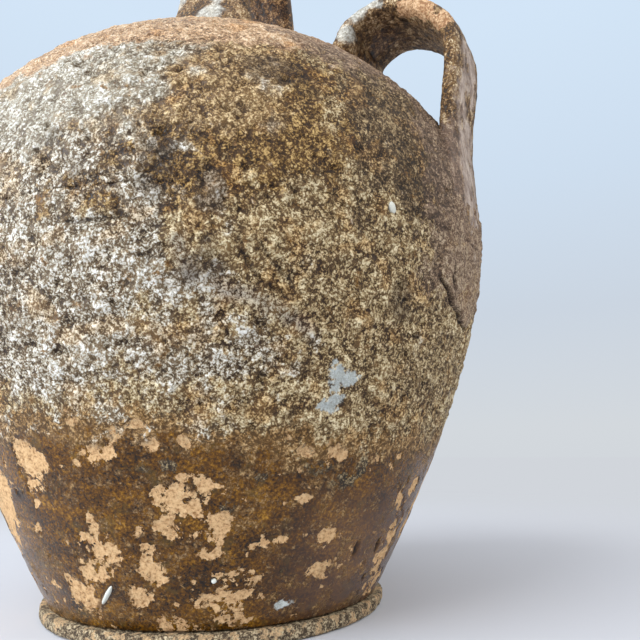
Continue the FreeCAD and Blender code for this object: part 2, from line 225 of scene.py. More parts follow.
# %% Flaked islands
ISLANDS = [  # bearing, height, half width, half height
    (-79.1, 36.4, 10.0, 5.2), (-79.4, 43.5, 2.6, 5.0), (-82.6, 27.6, 7.5, 6.5),
    (-58.8, 53.4, 10.0, 7.2), (-62.8, 43.5, 5.2, 5.0), (-52.7, 45.1, 5.4, 4.0),
    (-53.6, 39.6, 3.6, 3.6), (-54.3, 34.3, 5.4, 2.8), (-69.3, 41.5, 2.2, 3.8),
    (-67.8, 35.2, 4.4, 5.4), (-67.0, 28.6, 6.4, 4.4), (-48.0, 25.6, 9.6, 4.2),
    (-50.4, 18.6, 11.5, 3.6), (-48.9, 10.6, 7.0, 2.8), (-42.7, 38.9, 2.6, 3.6),
    (-39.5, 37.5, 3.4, 2.0), (-76.2, 67.4, 4.2, 5.0), (-72.6, 67.6, 3.6, 3.6),
    (-36.3, 67.6, 3.8, 2.4), (-35.7, 51.2, 3.2, 2.0), (-86.0, 15.8, 7.0, 5.6),
    (-71.1, 19.4, 4.6, 5.8), (-59.2, 70.8, 2.4, 2.4), (-29.8, 66.7, 4.4, 3.4),
    (-19.1, 63.5, 3.6, 2.6), (-11.5, 64.2, 2.0, 3.2), (-26.9, 37.5, 4.8, 4.2),
    (-26.6, 24.7, 5.0, 4.0), (1.7, 51.8, 5.0, 3.6), (-3.6, 46.6, 5.4, 5.0),
    (-0.8, 34.2, 7.4, 8.0), (-0.3, 24.1, 7.0, 7.0), (2.0, 12.4, 9.0, 6.0),
    (-77.6, 78.4, 5.2, 2.4), (-71.0, 74.2, 2.8, 2.6), (-67.4, 77.0, 2.8, 1.8),
    (-64.6, 70.6, 2.2, 2.0),
]


def glaze_line(points):
    """Height of the glaze's upper edge: dipped by hand, so it wanders."""
    bearings, _ = round_wall(points)
    lifted = 7.5 * ease(-bearings, 36.0, 74.0) * (1.0 - ease(-bearings, 100.0, 150.0))
    wander = 2.4 * grain(points * [1, 1, 0.3], 34.0, 11) + 2.2 * grain(points, 9.0, 12)
    return 75.0 + lifted + wander


def flaked(points):
    """Above 0 where the glaze has come off the wall."""
    islands = spots(points, ISLANDS)
    islands = np.where(islands > 0.0, islands, 1.7 * islands)
    bearings, _ = round_wall(points)
    shown = ease(bearings, -92.0, -84.0) * (1.0 - ease(bearings, 2.0, 12.0))
    eaten = rough(points, 3.4, 4, 21)
    low_wall = 1.0 - ease(points[:, 2], 48.0, 74.0)
    strewn = rough(points * [1, 1, 0.8], 17.0, 4, 31) - 0.5 + 0.24 * low_wall
    strewn = strewn * 1.6 - 1.1 * shown
    flecks = 1.4 * rough(points, 4.6, 3, 25) - 1.18
    islands = np.clip(islands, -1.0, 0.6) + 0.75 * eaten - 0.2
    return np.maximum(np.maximum(islands, strewn), flecks)


print(len(ISLANDS), "spots make the islands on the shown side")

# %% [markdown]
# ## The relief of the wall
#
# Relief is what catches the light, so it has to be in the mesh and not only in the shading. We add
# it up from what happened to the clay: the slow waves and fine rings of throwing, the lime crust
# above the glaze with its lumps and pits, the step down into each flaked island, and a few dents,
# cracks and holes. All of it but the strap's smeared tongue stays at or below the measured wall.

# %% Crust, islands, dents and cracks
DENTS = [  # bearing, height, half width, half height, depth
    (-61.4, 167.0, 3.4, 2.6, 0.9),
    (-16.5, 30.8, 1.5, 3.4, 1.8),
    (-7.0, 30.0, 1.5, 3.6, 1.6),
    (-7.4, 17.5, 1.2, 1.2, 1.4),
    (-16.0, 108.3, 2.6, 1.3, 1.5),
    (-53.6, 24.1, 1.6, 1.6, 0.9),
    (-26.0, 149.6, 2.4, 2.6, 0.7),
    (-47.5, 75.5, 1.8, 1.6, 0.9),
]
BLISTERS = [(-52.2, 176.4, 3.4, 2.0, 0.6), (-61.4, 167.0, 1.6, 1.2, 0.5)]
CREASES = [
    ([(-50.6, 133.5), (-49.3, 126.0), (-46.9, 119.9), (-43.6, 117.0), (-41.4, 115.2)], 1.1, 0.8),
    ([(-47.4, 132.0), (-45.6, 126.5), (-43.2, 121.5)], 0.9, 0.6),
    ([(-75.5, 139.4), (-70.0, 138.8), (-66.0, 139.5)], 1.0, 0.7),
    ([(-65.5, 128.5), (-62.5, 126.8)], 0.9, 0.6),
]
LEAF_EDGE = [
    (-12.8, 131.9), (-9.6, 128.0), (-6.1, 122.9), (-2.8, 121.3), (-0.7, 119.2), (3.5, 116.8),
]
LEAF_CRACKS = [LEAF_EDGE, [(-8.0, 138.6), (-7.6, 133.0), (-6.4, 126.7)]]


def crust(points):
    """How crusted the wall is: 1 above the glaze, 0 where the glaze is whole."""
    return ease(points[:, 2] - glaze_line(points), -9.0, 5.0)


def leaf(points):
    """How thick the side strap's smeared tongue lies on the wall, from 0 to 1."""
    bearings, radius = round_wall(points)
    wide = np.radians((bearings + 180.0) % 360.0 - 180.0) * radius
    high = points[:, 2]
    near_edge = np.interp(
        high, [115.5, 117.0, 119.2, 121.3, 122.9, 128.0, 132.0, 150.0, 180.0],
        [10.0, 7.0, -2.0, -6.0, -13.0, -21.0, -28.0, -27.0, -20.0],
    )
    far_edge = np.interp(high, [115.5, 120.0, 128.0, 150.0, 180.0], [10.0, 17.0, 24.0, 26.0, 20.0])
    soft = np.interp(high, [115.0, 131.0, 142.0], [2.2, 2.6, 9.0])
    inside = np.minimum((wide - near_edge) / soft, (far_edge - wide) / 7.0)
    return ease(inside, 0.0, 1.0) * ease(high, 114.8, 116.4) * (1.0 - ease(high, 160.0, 200.0))


def wandering(points):
    """The same points, shaken a little, so that a line drawn through them wanders."""
    return points + 0.8 * np.column_stack([grain(points, 3.0, 51 + k) for k in range(3)])


def relief(points):
    """How far each point of the wall lies above a plain wall, in millimetres."""
    crusted = crust(points) * (1.0 - 0.5 * ease(points[:, 2], 205.0, 240.0))
    rings = np.sin(points[:, 2] * 0.74 + 1.6 * grain(points, 60.0, 41))
    height = 0.28 * rough(points, 58.0, 2, 42) + 0.07 * rings
    lumps = np.abs(rough(points, 6.4, 3, 43))
    granules = np.abs(grain(points, 2.6, 44)) + 0.6 * np.abs(grain(points, 1.5, 45))
    height += crusted * (0.95 * lumps + 0.6 * granules - 0.7)
    pits = ease(grain(points, 4.2, 46) + 0.35 * grain(points, 2.0, 47), 0.62, 0.95)
    height -= crusted * 0.8 * pits
    height += (1.0 - crusted) * 0.05 * grain(points, 2.0, 48)
    height -= (1.0 - crusted) * 0.32 * ease(flaked(points), -0.03, 0.07)
    for *place, depth in DENTS:
        height -= depth * ease(spot(points, *place), 0.0, 0.7)
    for *place, rise in BLISTERS:
        height += rise * ease(spot(points, *place), 0.0, 0.8)
    wander = wandering(points)
    for places, half_wide, depth in CREASES:
        height -= depth * scratch(wander, places, half_wide)
    height += leaf(points)
    for places in LEAF_CRACKS:
        height -= 1.3 * scratch(wander, places, 1.0)
    joint = np.abs(points[:, 2] - SEAM_HEIGHT)
    height -= 0.22 * ease(-joint, -0.9, 0.0)
    return height


# %% [markdown]
# ## Throwing the wall
#
# A lathe-like mesh suits a thrown pot: rings of points up the line of the wall, joined into quads.
# The rings are close enough for the relief to show, about one point to a millimetre, and closest
# on the side that the camera sees. The inside is plain and needs few rings. Each half is one
# closed skin, like the real bowl.

# %% Rings and quads
fine, coarse = ((0.8, 1.7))  # millimetres between points
SHOWN_FROM, SHOWN_TO = -132.0, 34.0  # bearings of the side that the camera sees
HEEL_SLOPE = -30.2  # of the wall where it meets the foot


def bearings_round():
    """Bearings of the columns, close together on the shown side."""
    near = np.arange(SHOWN_FROM, SHOWN_TO, math.degrees(fine / BODY_RADIUS))
    far = np.arange(SHOWN_TO, SHOWN_FROM + 360.0, math.degrees(coarse / BODY_RADIUS))
    return np.radians(np.concatenate([near, far]))


def slopes_between(low, high, step):
    """Slopes of the wall's rings from low to high, about this many millimetres apart."""
    slopes = [low]
    while slopes[-1] < high:
        curve = next(arc[2] for arc in ARCS.values() if slopes[-1] >= arc[3])
        slopes.append(min(high, slopes[-1] + math.degrees(step / curve)))
    return slopes


def mesh_piece(name, points, faces):
    """A piece from points in millimetres, riding on the jug."""
    mesh = bpy.data.meshes.new(name)
    mesh.from_pydata((np.asarray(points) * MM).tolist(), [], faces)
    mesh.validate()
    piece = bpy.data.objects.new(name, mesh)
    bpy.context.scene.collection.objects.link(piece)
    mesh.shade_smooth()
    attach(piece, "root")
    return piece


def all_points(piece):
    """The points of a piece, in millimetres."""
    flat = np.empty(len(piece.data.vertices) * 3, np.float32)
    piece.data.vertices.foreach_get("co", flat)
    return flat.reshape(-1, 3).astype(float) / MM


def place_points(piece, points):
    """Moves the points of a piece to these places, in millimetres."""
    piece.data.vertices.foreach_set("co", (points * MM).astype(np.float32).ravel())


def store(piece, name, field):
    """Stores one number for each point of the piece."""
    layer = piece.data.attributes.new(name, "FLOAT", "POINT")
    layer.data.foreach_set("value", field.astype(np.float32))


def turned_skin(line, turns, closed=False):
    """Points and quads of a line of (radius, height) swept round. A radius of 0 is a pole."""
    points, rings = [], []
    for radius, height in line:
        if radius == 0:
            rings.append([len(points)])
            points.append((0.0, 0.0, height))
        else:
            rings.append(range(len(points), len(points) + len(turns)))
            around = (radius * np.cos(turns), radius * np.sin(turns), [height] * len(turns))
            points.extend(zip(*around))
    faces = []
    count = len(turns)
    for lower, upper in zip(rings, rings[1:] + rings[: int(closed)]):
        for here in range(count):
            after = (here + 1) % count
            if len(lower) == 1 and len(upper) == 1:
                break
            if len(lower) == 1:
                faces.append((lower[0], upper[after], upper[here]))
            elif len(upper) == 1:
                faces.append((lower[here], lower[after], upper[0]))
            else:
                faces.append((lower[here], lower[after], upper[after], upper[here]))
    return np.array(points), faces


def slope_at_height(height, off=0.0):
    """The wall's slope at this height below its widest place."""
    low, high = HEEL_SLOPE, 0.0
    for _ in range(40):
        middle = (low + high) / 2
        low, high = (middle, high) if wall_point(middle, off)[1] < height else (low, middle)
    return low


# %% The two thrown halves
OUTER_WITHIN = 0.02  # a point this near the wall's surface is on its outer face
RELIEF_SUNK = 0.75  # how far the relief's middle lies under the measured surface


def dress_wall(piece):
    """Pushes the outer face of a wall into relief. Only the smeared tongue rises over the wall."""
    points = all_points(piece)
    off, way = off_wall(points)
    outer = np.abs(off) < OUTER_WITHIN
    skin = points[outer]
    lift = relief(skin) - RELIEF_SUNK
    lift = np.where(leaf(skin) > 0, lift, np.minimum(lift, 0.0))
    points[outer] = skin + way[outer] * lift[:, None]
    points[:, 2] = np.maximum(points[:, 2], BASE_HEIGHT)
    place_points(piece, points)
    piece.data.update()
    # How raised each point is. The finishes darken the low points by it: painted shade in the
    # hollows.
    raised = np.full(len(points), 0.5)
    raised[outer] = np.clip((lift + 1.6) / 1.5, 0.0, 1.0)
    store(piece, "raised", raised)
    store(piece, "band", ease(points[:, 2] - glaze_line(points), -16.0, 0.0))
    return lift


turns = bearings_round()
seam_slope = slope_at_height(SEAM_HEIGHT)
inner_seam_slope = slope_at_height(SEAM_HEIGHT, -WALL)
low_line = [(0, BASE_HEIGHT)]
low_line += [wall_point(slope) for slope in slopes_between(HEEL_SLOPE, seam_slope, fine)]
inner_rings = slopes_between(HEEL_SLOPE + 0.8, inner_seam_slope, 8.0)
low_line += [wall_point(slope, -WALL) for slope in reversed(inner_rings)]
low_line += [(0, low_line[-1][1])]
lower_wall = mesh_piece("lower_wall", *turned_skin(low_line, turns))
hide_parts("lower_body")

shoulder_rings = slopes_between(seam_slope, 62.0, fine)
crown_rings = slopes_between(62.0, 89.6, fine * 1.7)[1:]
high_line = [wall_point(slope) for slope in shoulder_rings + crown_rings]
high_line += [(0, BODY_TOP), (0, BODY_TOP - WALL)]
inner_rings = slopes_between(inner_seam_slope, 88.0, 8.0)
high_line += [wall_point(slope, -WALL) for slope in reversed(inner_rings)]
upper_wall = mesh_piece("upper_wall", *turned_skin(high_line, turns, closed=True))
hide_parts("upper_body")
for wall in (lower_wall, upper_wall):
    print(wall.name, len(wall.data.vertices), "points")

# %% [markdown]
# ## Bores and relief
#
# The potter cuts the holes for the mouth and the spout before luting them on. A Boolean with a
# plain cylinder does the same and leaves a clean closed edge. It comes before the relief, because
# a cut through a calm surface is quicker and never leaves slivers.

# %% Cutting the bores
def stand(bearing, reach, tilt):
    """The place and lean, in millimetres, of what stands on the shoulder."""
    slope = math.degrees(math.acos(reach / DOME_RADIUS))
    radius, height = wall_point(slope)
    turn = Matrix.Rotation(math.radians(bearing), 4, "Z")
    lean = Matrix.Rotation(math.radians(tilt), 4, "Y")
    return turn @ Matrix.Translation((radius, 0.0, height)) @ lean


MOUTH_STAND = stand(100.0, 87.28, 18.0)
SPOUT_STAND = stand(180.0, 83.2, 34.0)


def bore(piece, place, radius):
    """Cuts a round hole through a piece along the place's own upright axis."""
    around = np.radians(np.arange(0.0, 360.0, 3.0))
    line = [(0, -30.0), (radius, -30.0), (radius, 30.0), (0, 30.0)]
    points, faces = turned_skin(line, around)
    mesh = bpy.data.meshes.new("bore")
    mesh.from_pydata(points.tolist(), [], faces)
    mesh.transform(Matrix.Scale(MM, 4) @ place)
    cutter = bpy.data.objects.new("bore", mesh)
    bpy.context.scene.collection.objects.link(cutter)
    cut = piece.modifiers.new("bore", "BOOLEAN")
    cut.object = cutter
    cut.solver = "MANIFOLD"
    bpy.context.view_layer.update()
    cut_mesh = bpy.data.meshes.new_from_object(
        piece.evaluated_get(bpy.context.evaluated_depsgraph_get())
    )
    piece.modifiers.clear()
    before, piece.data = piece.data, cut_mesh
    cut_mesh.name = piece.name
    bpy.data.meshes.remove(before)
    bpy.data.objects.remove(cutter)
    print(piece.name, "bored at radius", radius, "with", len(cut_mesh.vertices), "points")


bore(upper_wall, MOUTH_STAND, 20.0)
bore(upper_wall, SPOUT_STAND, 15.0)
for wall in (lower_wall, upper_wall):
    lift = dress_wall(wall)
    wall.data.shade_smooth()
    print(wall.name, "relief from", round(lift.min(), 2), "to", round(lift.max(), 2), "mm")

# %% [markdown]
# ## Pulled straps
#
# A handle is pulled from a lump of clay with a wet hand, so it is flat, a little wavy, and wider
# where it is pressed on. A sweep makes it: a flat section with round edges is carried along a
# smooth line, and its width and thickness change on the way. The line is a Catmull-Rom curve,
# because that passes through the places that were measured.

# %% Sweeping a strap
def smooth_run(values, step_count):
    """A Catmull-Rom curve through rows of values, with this many steps from row to row."""
    rows = np.array(values, float)
    padded = np.vstack([2 * rows[0] - rows[1], rows, 2 * rows[-1] - rows[-2]])
    run = []
    for a, b, c, d in zip(padded, padded[1:], padded[2:], padded[3:]):
        for t in np.arange(step_count) / step_count:
            bend, twist = 2 * a - 5 * b + 4 * c - d, 3 * b - a - 3 * c + d
            run.append(0.5 * (2 * b + (c - a) * t + bend * t**2 + twist * t**3))
    return np.array(run + [rows[-1]])


def evenly(run, step):
    """The same run with its rows about this far apart, measured by its first two columns."""
    gaps = np.linalg.norm(np.diff(run[:, :2], axis=0), axis=1)
    along = np.concatenate([[0.0], np.cumsum(gaps)])
    wanted = np.linspace(0.0, along[-1], max(8, int(along[-1] / step)))
    return np.column_stack([np.interp(wanted, along, column) for column in run.T]), wanted


def section(width, thickness, count):
    """Points round a flat section with round edges, evenly apart, and the ways out of it."""
    turn = np.linspace(0.0, 2 * math.pi, 721)[:-1]
    power = 2.0 / 3.6
    x = np.sign(np.cos(turn)) * np.abs(np.cos(turn)) ** power * width / 2
    y = np.sign(np.sin(turn)) * np.abs(np.sin(turn)) ** power * thickness / 2
    ring = np.column_stack([x, y])
    closed = np.vstack([ring, ring[:1]])
    along = np.concatenate([[0.0], np.cumsum(np.linalg.norm(np.diff(closed, axis=0), axis=1))])
    wanted = np.linspace(0.0, along[-1], count + 1)[:-1]
    ring = np.column_stack([np.interp(wanted, along, column) for column in closed.T])
    tangent = np.roll(ring, -1, axis=0) - np.roll(ring, 1, axis=0)
    out = np.column_stack([tangent[:, 1], -tangent[:, 0]])
    return ring, out / np.linalg.norm(out, axis=1)[:, None]


def sweep(rows, count):
    """Points, ways out and quads of a strap. Each row is radius, height, width and thickness."""
    tangent = np.gradient(rows[:, :2], axis=0)
    tangent /= np.linalg.norm(tangent, axis=1)[:, None]
    outer = np.column_stack([tangent[:, 1], -tangent[:, 0]])
    points, ways = [], []
    for (radius, height, width, thickness), (out_r, out_z) in zip(rows, outer):
        ring, out = section(width, thickness, count)
        points.append(
            np.column_stack([radius + ring[:, 1] * out_r, ring[:, 0], height + ring[:, 1] * out_z])
        )
        ways.append(np.column_stack([out[:, 1] * out_r, out[:, 0], out[:, 1] * out_z]))
    total = len(rows)
    faces = [
        (low + k, low + (k + 1) % count, low + count + (k + 1) % count, low + count + k)
        for low in range(0, (total - 1) * count, count)
        for k in range(count)
    ]
    faces.append(tuple(reversed(range(count))))
    faces.append(tuple(range((total - 1) * count, total * count)))
    return np.vstack(points), np.vstack(ways), faces


ROOT_DEPTH = 3.0  # how deep straps and collars may reach into the wall
strap_step, strap_count = ((0.95, 104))  # section to section, points round


def settle(points):
    """Brings points that would come out inside the jug back into its wall."""
    off, way = off_wall(points)
    return points + way * np.maximum(-ROOT_DEPTH - off, 0.0)[:, None]


def strap_relief(points, gloss):
    """Lumps, pits and chips of a strap. gloss is 1 where it is smooth."""
    height = 0.35 * rough(points, 24.0, 2, 61) + 0.25 * np.abs(rough(points, 6.0, 2, 62)) - 0.35
    broken = np.abs(grain(points, 2.8, 63)) + 0.5 * np.abs(grain(points, 1.5, 64))
    pits = ease(grain(points, 3.6, 65), 0.45, 0.8)
    return height + (1.0 - gloss) * (0.45 * broken - 0.45 * pits - 0.1)


# %% The strap at the side
SIDE_LINE = [  # slope of the wall, distance off it, width, thickness
    (57.5, -9.0, 48.0, 12.4),
    (57.5, 3.8, 45.0, 10.9),
    (58.3, 11.8, 40.5, 9.7),
    (56.9, 20.8, 37.7, 9.5),
    (54.4, 27.8, 37.0, 9.5),
    (50.9, 31.4, 37.0, 9.5),
    (47.2, 32.0, 37.0, 9.4),
    (43.2, 30.1, 36.3, 9.2),
    (38.5, 22.1, 34.8, 9.0),
    (31.2, 10.6, 34.0, 9.0),
    (21.1, 1.0, 36.3, 9.0),
    (8.7, -3.6, 41.0, 9.4),
    (-2.9, -4.6, 44.0, 9.4),
    (-13.8, -6.5, 38.0, 8.0),
    (-18.0, -9.0, 24.0, 6.0),
]
side_rows = [(*wall_point(slope, off), *size) for slope, off, *size in SIDE_LINE]
rows, along = evenly(smooth_run(side_rows, 24), strap_step)
points, ways, faces = sweep(rows, strap_count)
hug = 1.0 - ease(points[:, 2], 176.0, 226.0)
turn = points[:, 1] / 128.0
curled = np.column_stack([points[:, 0] * np.cos(turn), points[:, 0] * np.sin(turn), points[:, 2]])
points = points + (curled - points) * hug[:, None]
side_gloss = 1.0 - ease(points[:, 2], 160.0, 200.0) * 0.75
points += ways * strap_relief(points, side_gloss)[:, None]
side_strap = mesh_piece("side_strap", settle(points), faces)
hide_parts("side_handle")
print("side strap:", len(rows), "sections,", round(along[-1]), "mm long")

# %% The strap over the top
HALF_SPAN, SPRING_HEIGHT, ARCH_RISE = 43.5, 306.5, 58.5
TOP_WIDTH, TOP_THICKNESS = 33.0, 12.0
LEG = [  # share of the half span, of the leg's height, of the width and of the thickness
    (1.08, -0.35, 1.35, 1.35),
    (1.05, 0.04, 1.26, 1.2),
    (1.02, 0.3, 1.12, 1.05),
    (1.0, 0.65, 1.03, 1.0),
]
root_height = DOME_CENTRE + math.sqrt(DOME_RADIUS**2 - HALF_SPAN**2)
leg_height = SPRING_HEIGHT - root_height
top_rows = [
    (HALF_SPAN * span, root_height + leg_height * up, TOP_WIDTH * wide, TOP_THICKNESS * thick)
    for span, up, wide, thick in LEG
]
for step in range(9):
    angle = math.pi * step / 8
    place = (HALF_SPAN * math.cos(angle), SPRING_HEIGHT + ARCH_RISE * math.sin(angle))
    top_rows.append((*place, TOP_WIDTH, 11.6))
top_rows += [(-reach, *others) for reach, *others in top_rows[3::-1]]
rows, along = evenly(smooth_run(top_rows, 24), strap_step)
points, ways, faces = sweep(rows, strap_count)
points[:, 1] -= 10.0
points += ways * (strap_relief(points, np.full(len(points), 0.55)) - 0.2)[:, None]
turned = np.array(Matrix.Rotation(math.radians(105.0), 3, "Z"))
top_strap = mesh_piece("top_strap", settle(points @ turned.T), faces)
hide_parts("top_handle")
print("top strap:", len(rows), "sections,", round(along[-1]), "mm long")

# %% [markdown]
# ## The mouth, the spout and the foot
#
# These three are small turned pieces. The mouth is a collar with a rolled lip, the spout a trumpet
# that narrows to a hole one finger can close, and the foot a gritty disc that the jug was stood on
# while it was damp. Each gets its line, is swept round its own axis, roughened, and set in place.

# %% Turned collars
def rounded(line):
    """A closed line whose corners are cut, twice over, into short arcs."""
    for _ in range(2):
        line = [
            (a[0] * (1 - k) + b[0] * k, a[1] * (1 - k) + b[1] * k)
            for a, b in zip(line, line[1:] + line[:1])
            for k in (0.25, 0.75)
        ]
    return line


def divided(line, step_at):
    """More points on a line. step_at gives, for a radius, how far apart they are."""
    run = []
    for (r0, z0), (r1, z1) in zip(line, line[1:]):
        parts = max(1, int(math.hypot(r1 - r0, z1 - z0) / step_at(min(r0, r1))))
        run += [(r0 + (r1 - r0) * k / parts, z0 + (z1 - z0) * k / parts) for k in range(parts)]
    return run


def collar(name, corners, place, node):
    """A small turned piece with an uneven skin, from its closed run of (radius, height)."""
    line, step = rounded(corners), 0.9
    widest = max(radius for radius, _ in line)
    around = np.linspace(0.0, 2 * math.pi, int(2 * math.pi * widest / step), endpoint=False)
    run = divided(line + line[:1], lambda radius: step)
    points, faces = turned_skin(run, around, closed=True)
    points = np.array([place @ Vector(point) for point in points])
    piece = mesh_piece(name, points, faces)
    normals = np.empty(len(points) * 3, np.float32)
    piece.data.vertices.foreach_get("normal", normals)
    lift = 0.3 * rough(points, 14.0, 2, 71) + 0.3 * np.abs(rough(points, 3.4, 2, 72)) - 0.5
    place_points(piece, settle(points + normals.reshape(-1, 3) * lift[:, None]))
    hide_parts(node)
    print(name, len(points), "points")
    return piece


MOUTH_LINE = [
    (19.8, -12.0), (31.0, -15.0), (30.5, -1.0), (27.0, 4.5), (26.5, 20.0), (30.0, 24.0),
    (31.3, 28.0), (30.5, 33.0), (26.0, 34.2), (20.5, 33.5), (19.8, 28.0),
]
SPOUT_LINE = [
    (15.0, -8.0), (23.0, -10.0), (21.2, 0.0), (18.0, 5.4), (14.3, 15.0), (11.4, 29.7),
    (9.9, 43.0), (9.6, 48.0), (11.3, 50.0), (11.4, 53.0), (9.0, 54.2), (6.0, 54.0),
    (5.0, 51.0), (5.0, 29.7), (14.6, 0.0),
]
mouth = collar("mouth_collar", MOUTH_LINE, MOUTH_STAND, "filling_mouth")
spout = collar("spout_trumpet", SPOUT_LINE, SPOUT_STAND, "spout")


# %% The foot disc
def foot_relief(points):
    """A crumbling edge, and nothing where the disc stands or joins the body."""
    edge = ease(np.hypot(points[:, 0], points[:, 1]), 66.0, 73.0)
    bites = 0.8 * ease(rough(points, 11.0, 2, 81), 0.25, 0.9)
    bites += 0.55 * ease(grain(points, 4.0, 83), 0.2, 0.8)
    fine_bits = 0.4 * np.abs(grain(points, 1.7, 84))
    return -edge * (bites + fine_bits + 0.05)


FOOT_LINE = [
    (0, 0.0), (60.0, 0.0), (74.6, 0.0), (76.0, 0.7),
    (76.5, 1.8), (76.5, 4.6), (75.9, BASE_HEIGHT), (0, BASE_HEIGHT),
]
around = np.linspace(0.0, 2 * math.pi, 600, endpoint=False)
run = divided(FOOT_LINE, lambda radius: 0.8 if radius >= 60.0 else 12.0)
points, faces = turned_skin(run + FOOT_LINE[-1:], around)
outward = points / np.maximum(np.hypot(points[:, 0], points[:, 1]), 1.0)[:, None]
points[:, :2] += outward[:, :2] * foot_relief(points)[:, None]
points[:, 2] = np.clip(points[:, 2], 0.0, BASE_HEIGHT)
foot = mesh_piece("foot_plate", points, faces)
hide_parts("foot_disc")
print("foot", len(points), "points")

# %% [markdown]
# ## Bits that stuck to the wall
#
# A long glassy drop of glaze hangs low on the wall, a round one sits beside it, and a pale chip of
# grit stuck to the belly. Each is a small flattened ball turned to lie on the wall, sunk to about
# half its depth so that it looks grown in and not laid on.

# %% Glassy drops and a chip of grit
def stuck_on(name, bearing, height, half_wide, half_high, rise, lean, seed):
    """A flattened ball on the wall. lean turns it clockwise, as it is seen from outside."""
    slope = slope_at_height(height)
    radius, _ = wall_point(slope)
    rings = [(math.sin(math.pi * k / 12), -math.cos(math.pi * k / 12)) for k in range(13)]
    rings[0], rings[-1] = (0, -1.0), (0, 1.0)
    points, faces = turned_skin(rings, np.radians(np.arange(0.0, 360.0, 15.0)))
    points *= (rise, half_wide, half_high)
    uneven = np.column_stack([grain(points, 1.3, seed + k) for k in range(3)])
    points += 0.12 * min(half_wide, rise) * uneven
    turn = Matrix.Rotation(math.radians(bearing), 4, "Z")
    turn = turn @ Matrix.Translation((radius, 0.0, height))
    turn = turn @ Matrix.Rotation(math.radians(-slope), 4, "Y")
    turn = turn @ Matrix.Translation((-1.1, 0.0, 0.0))
    turn = turn @ Matrix.Rotation(math.radians(lean), 4, "X")
    return mesh_piece(name, [turn @ Vector(point) for point in points], faces)


long_drop = stuck_on("long_glassy_drop", -81.0, 18.6, 1.0, 5.3, 1.3, -39.0, 161)
round_drop = stuck_on("round_glassy_drop", -53.6, 24.1, 0.9, 0.9, 0.9, 0.0, 165)
grit_chip = stuck_on("grit_chip", -26.0, 150.2, 1.5, 2.3, 1.0, 28.0, 169)
print("stuck on: long drop, round drop, grit chip")

# %% [markdown]
# ## Where each finish lies
#
# One wall carries many finishes: whole glaze, bare clay in the flaked islands, honey-coloured and
# ash-coloured crust, a peach-coloured dome, and a few splashes of lime. A painter would mask them.
# Here each mask is a number stored on every point of the mesh, an attribute, so the shape and the
# colour agree on where an island ends. The materials then break the masks up with finer noise.

# %% Painting the masks of the wall
LIME = [  # bearing, height, half width, half height
    (-33.2, 94.6, 4.2, 3.6), (-30.6, 91.8, 4.8, 3.0), (-32.6, 86.4, 3.4, 4.6),
    (-33.2, 82.2, 4.6, 2.8), (-35.7, 13.8, 3.8, 1.8),
]
PALE_STREAK = [
    (-59.3, 132.0), (-57.9, 121.5), (-53.0, 117.0), (-48.7, 115.8), (-42.9, 110.5), (-38.8, 105.5),
]
# The line of the painted shadow beside the long drop.
BESIDE_DROP = [(-84.6, 14.2), (-77.6, 23.2)]
DARK_SPOTS = [  # bearing, height, half width, half height
    (-52.2, 176.0, 8.0, 5.0), (-39.0, 186.0, 7.0, 3.5), (-56.5, 128.0, 10.0, 8.0),
    (-44.0, 196.0, 16.0, 8.0), (-55.0, 150.0, 6.0, 10.0), (-62.0, 158.0, 8.0, 12.0),
    (-22.0, 118.0, 7.0, 10.0),
]
SCABS = [  # bearing, height, half width, half height
    (-34.0, 61.5, 7.0, 2.6), (-27.5, 57.0, 6.0, 3.2), (-23.0, 62.5, 3.0, 4.0),
    (-66.0, 62.5, 2.4, 2.0), (-61.5, 62.5, 3.4, 2.8), (-50.6, 50.5, 3.2, 3.4),
    (-43.5, 59.0, 7.0, 2.4),
]


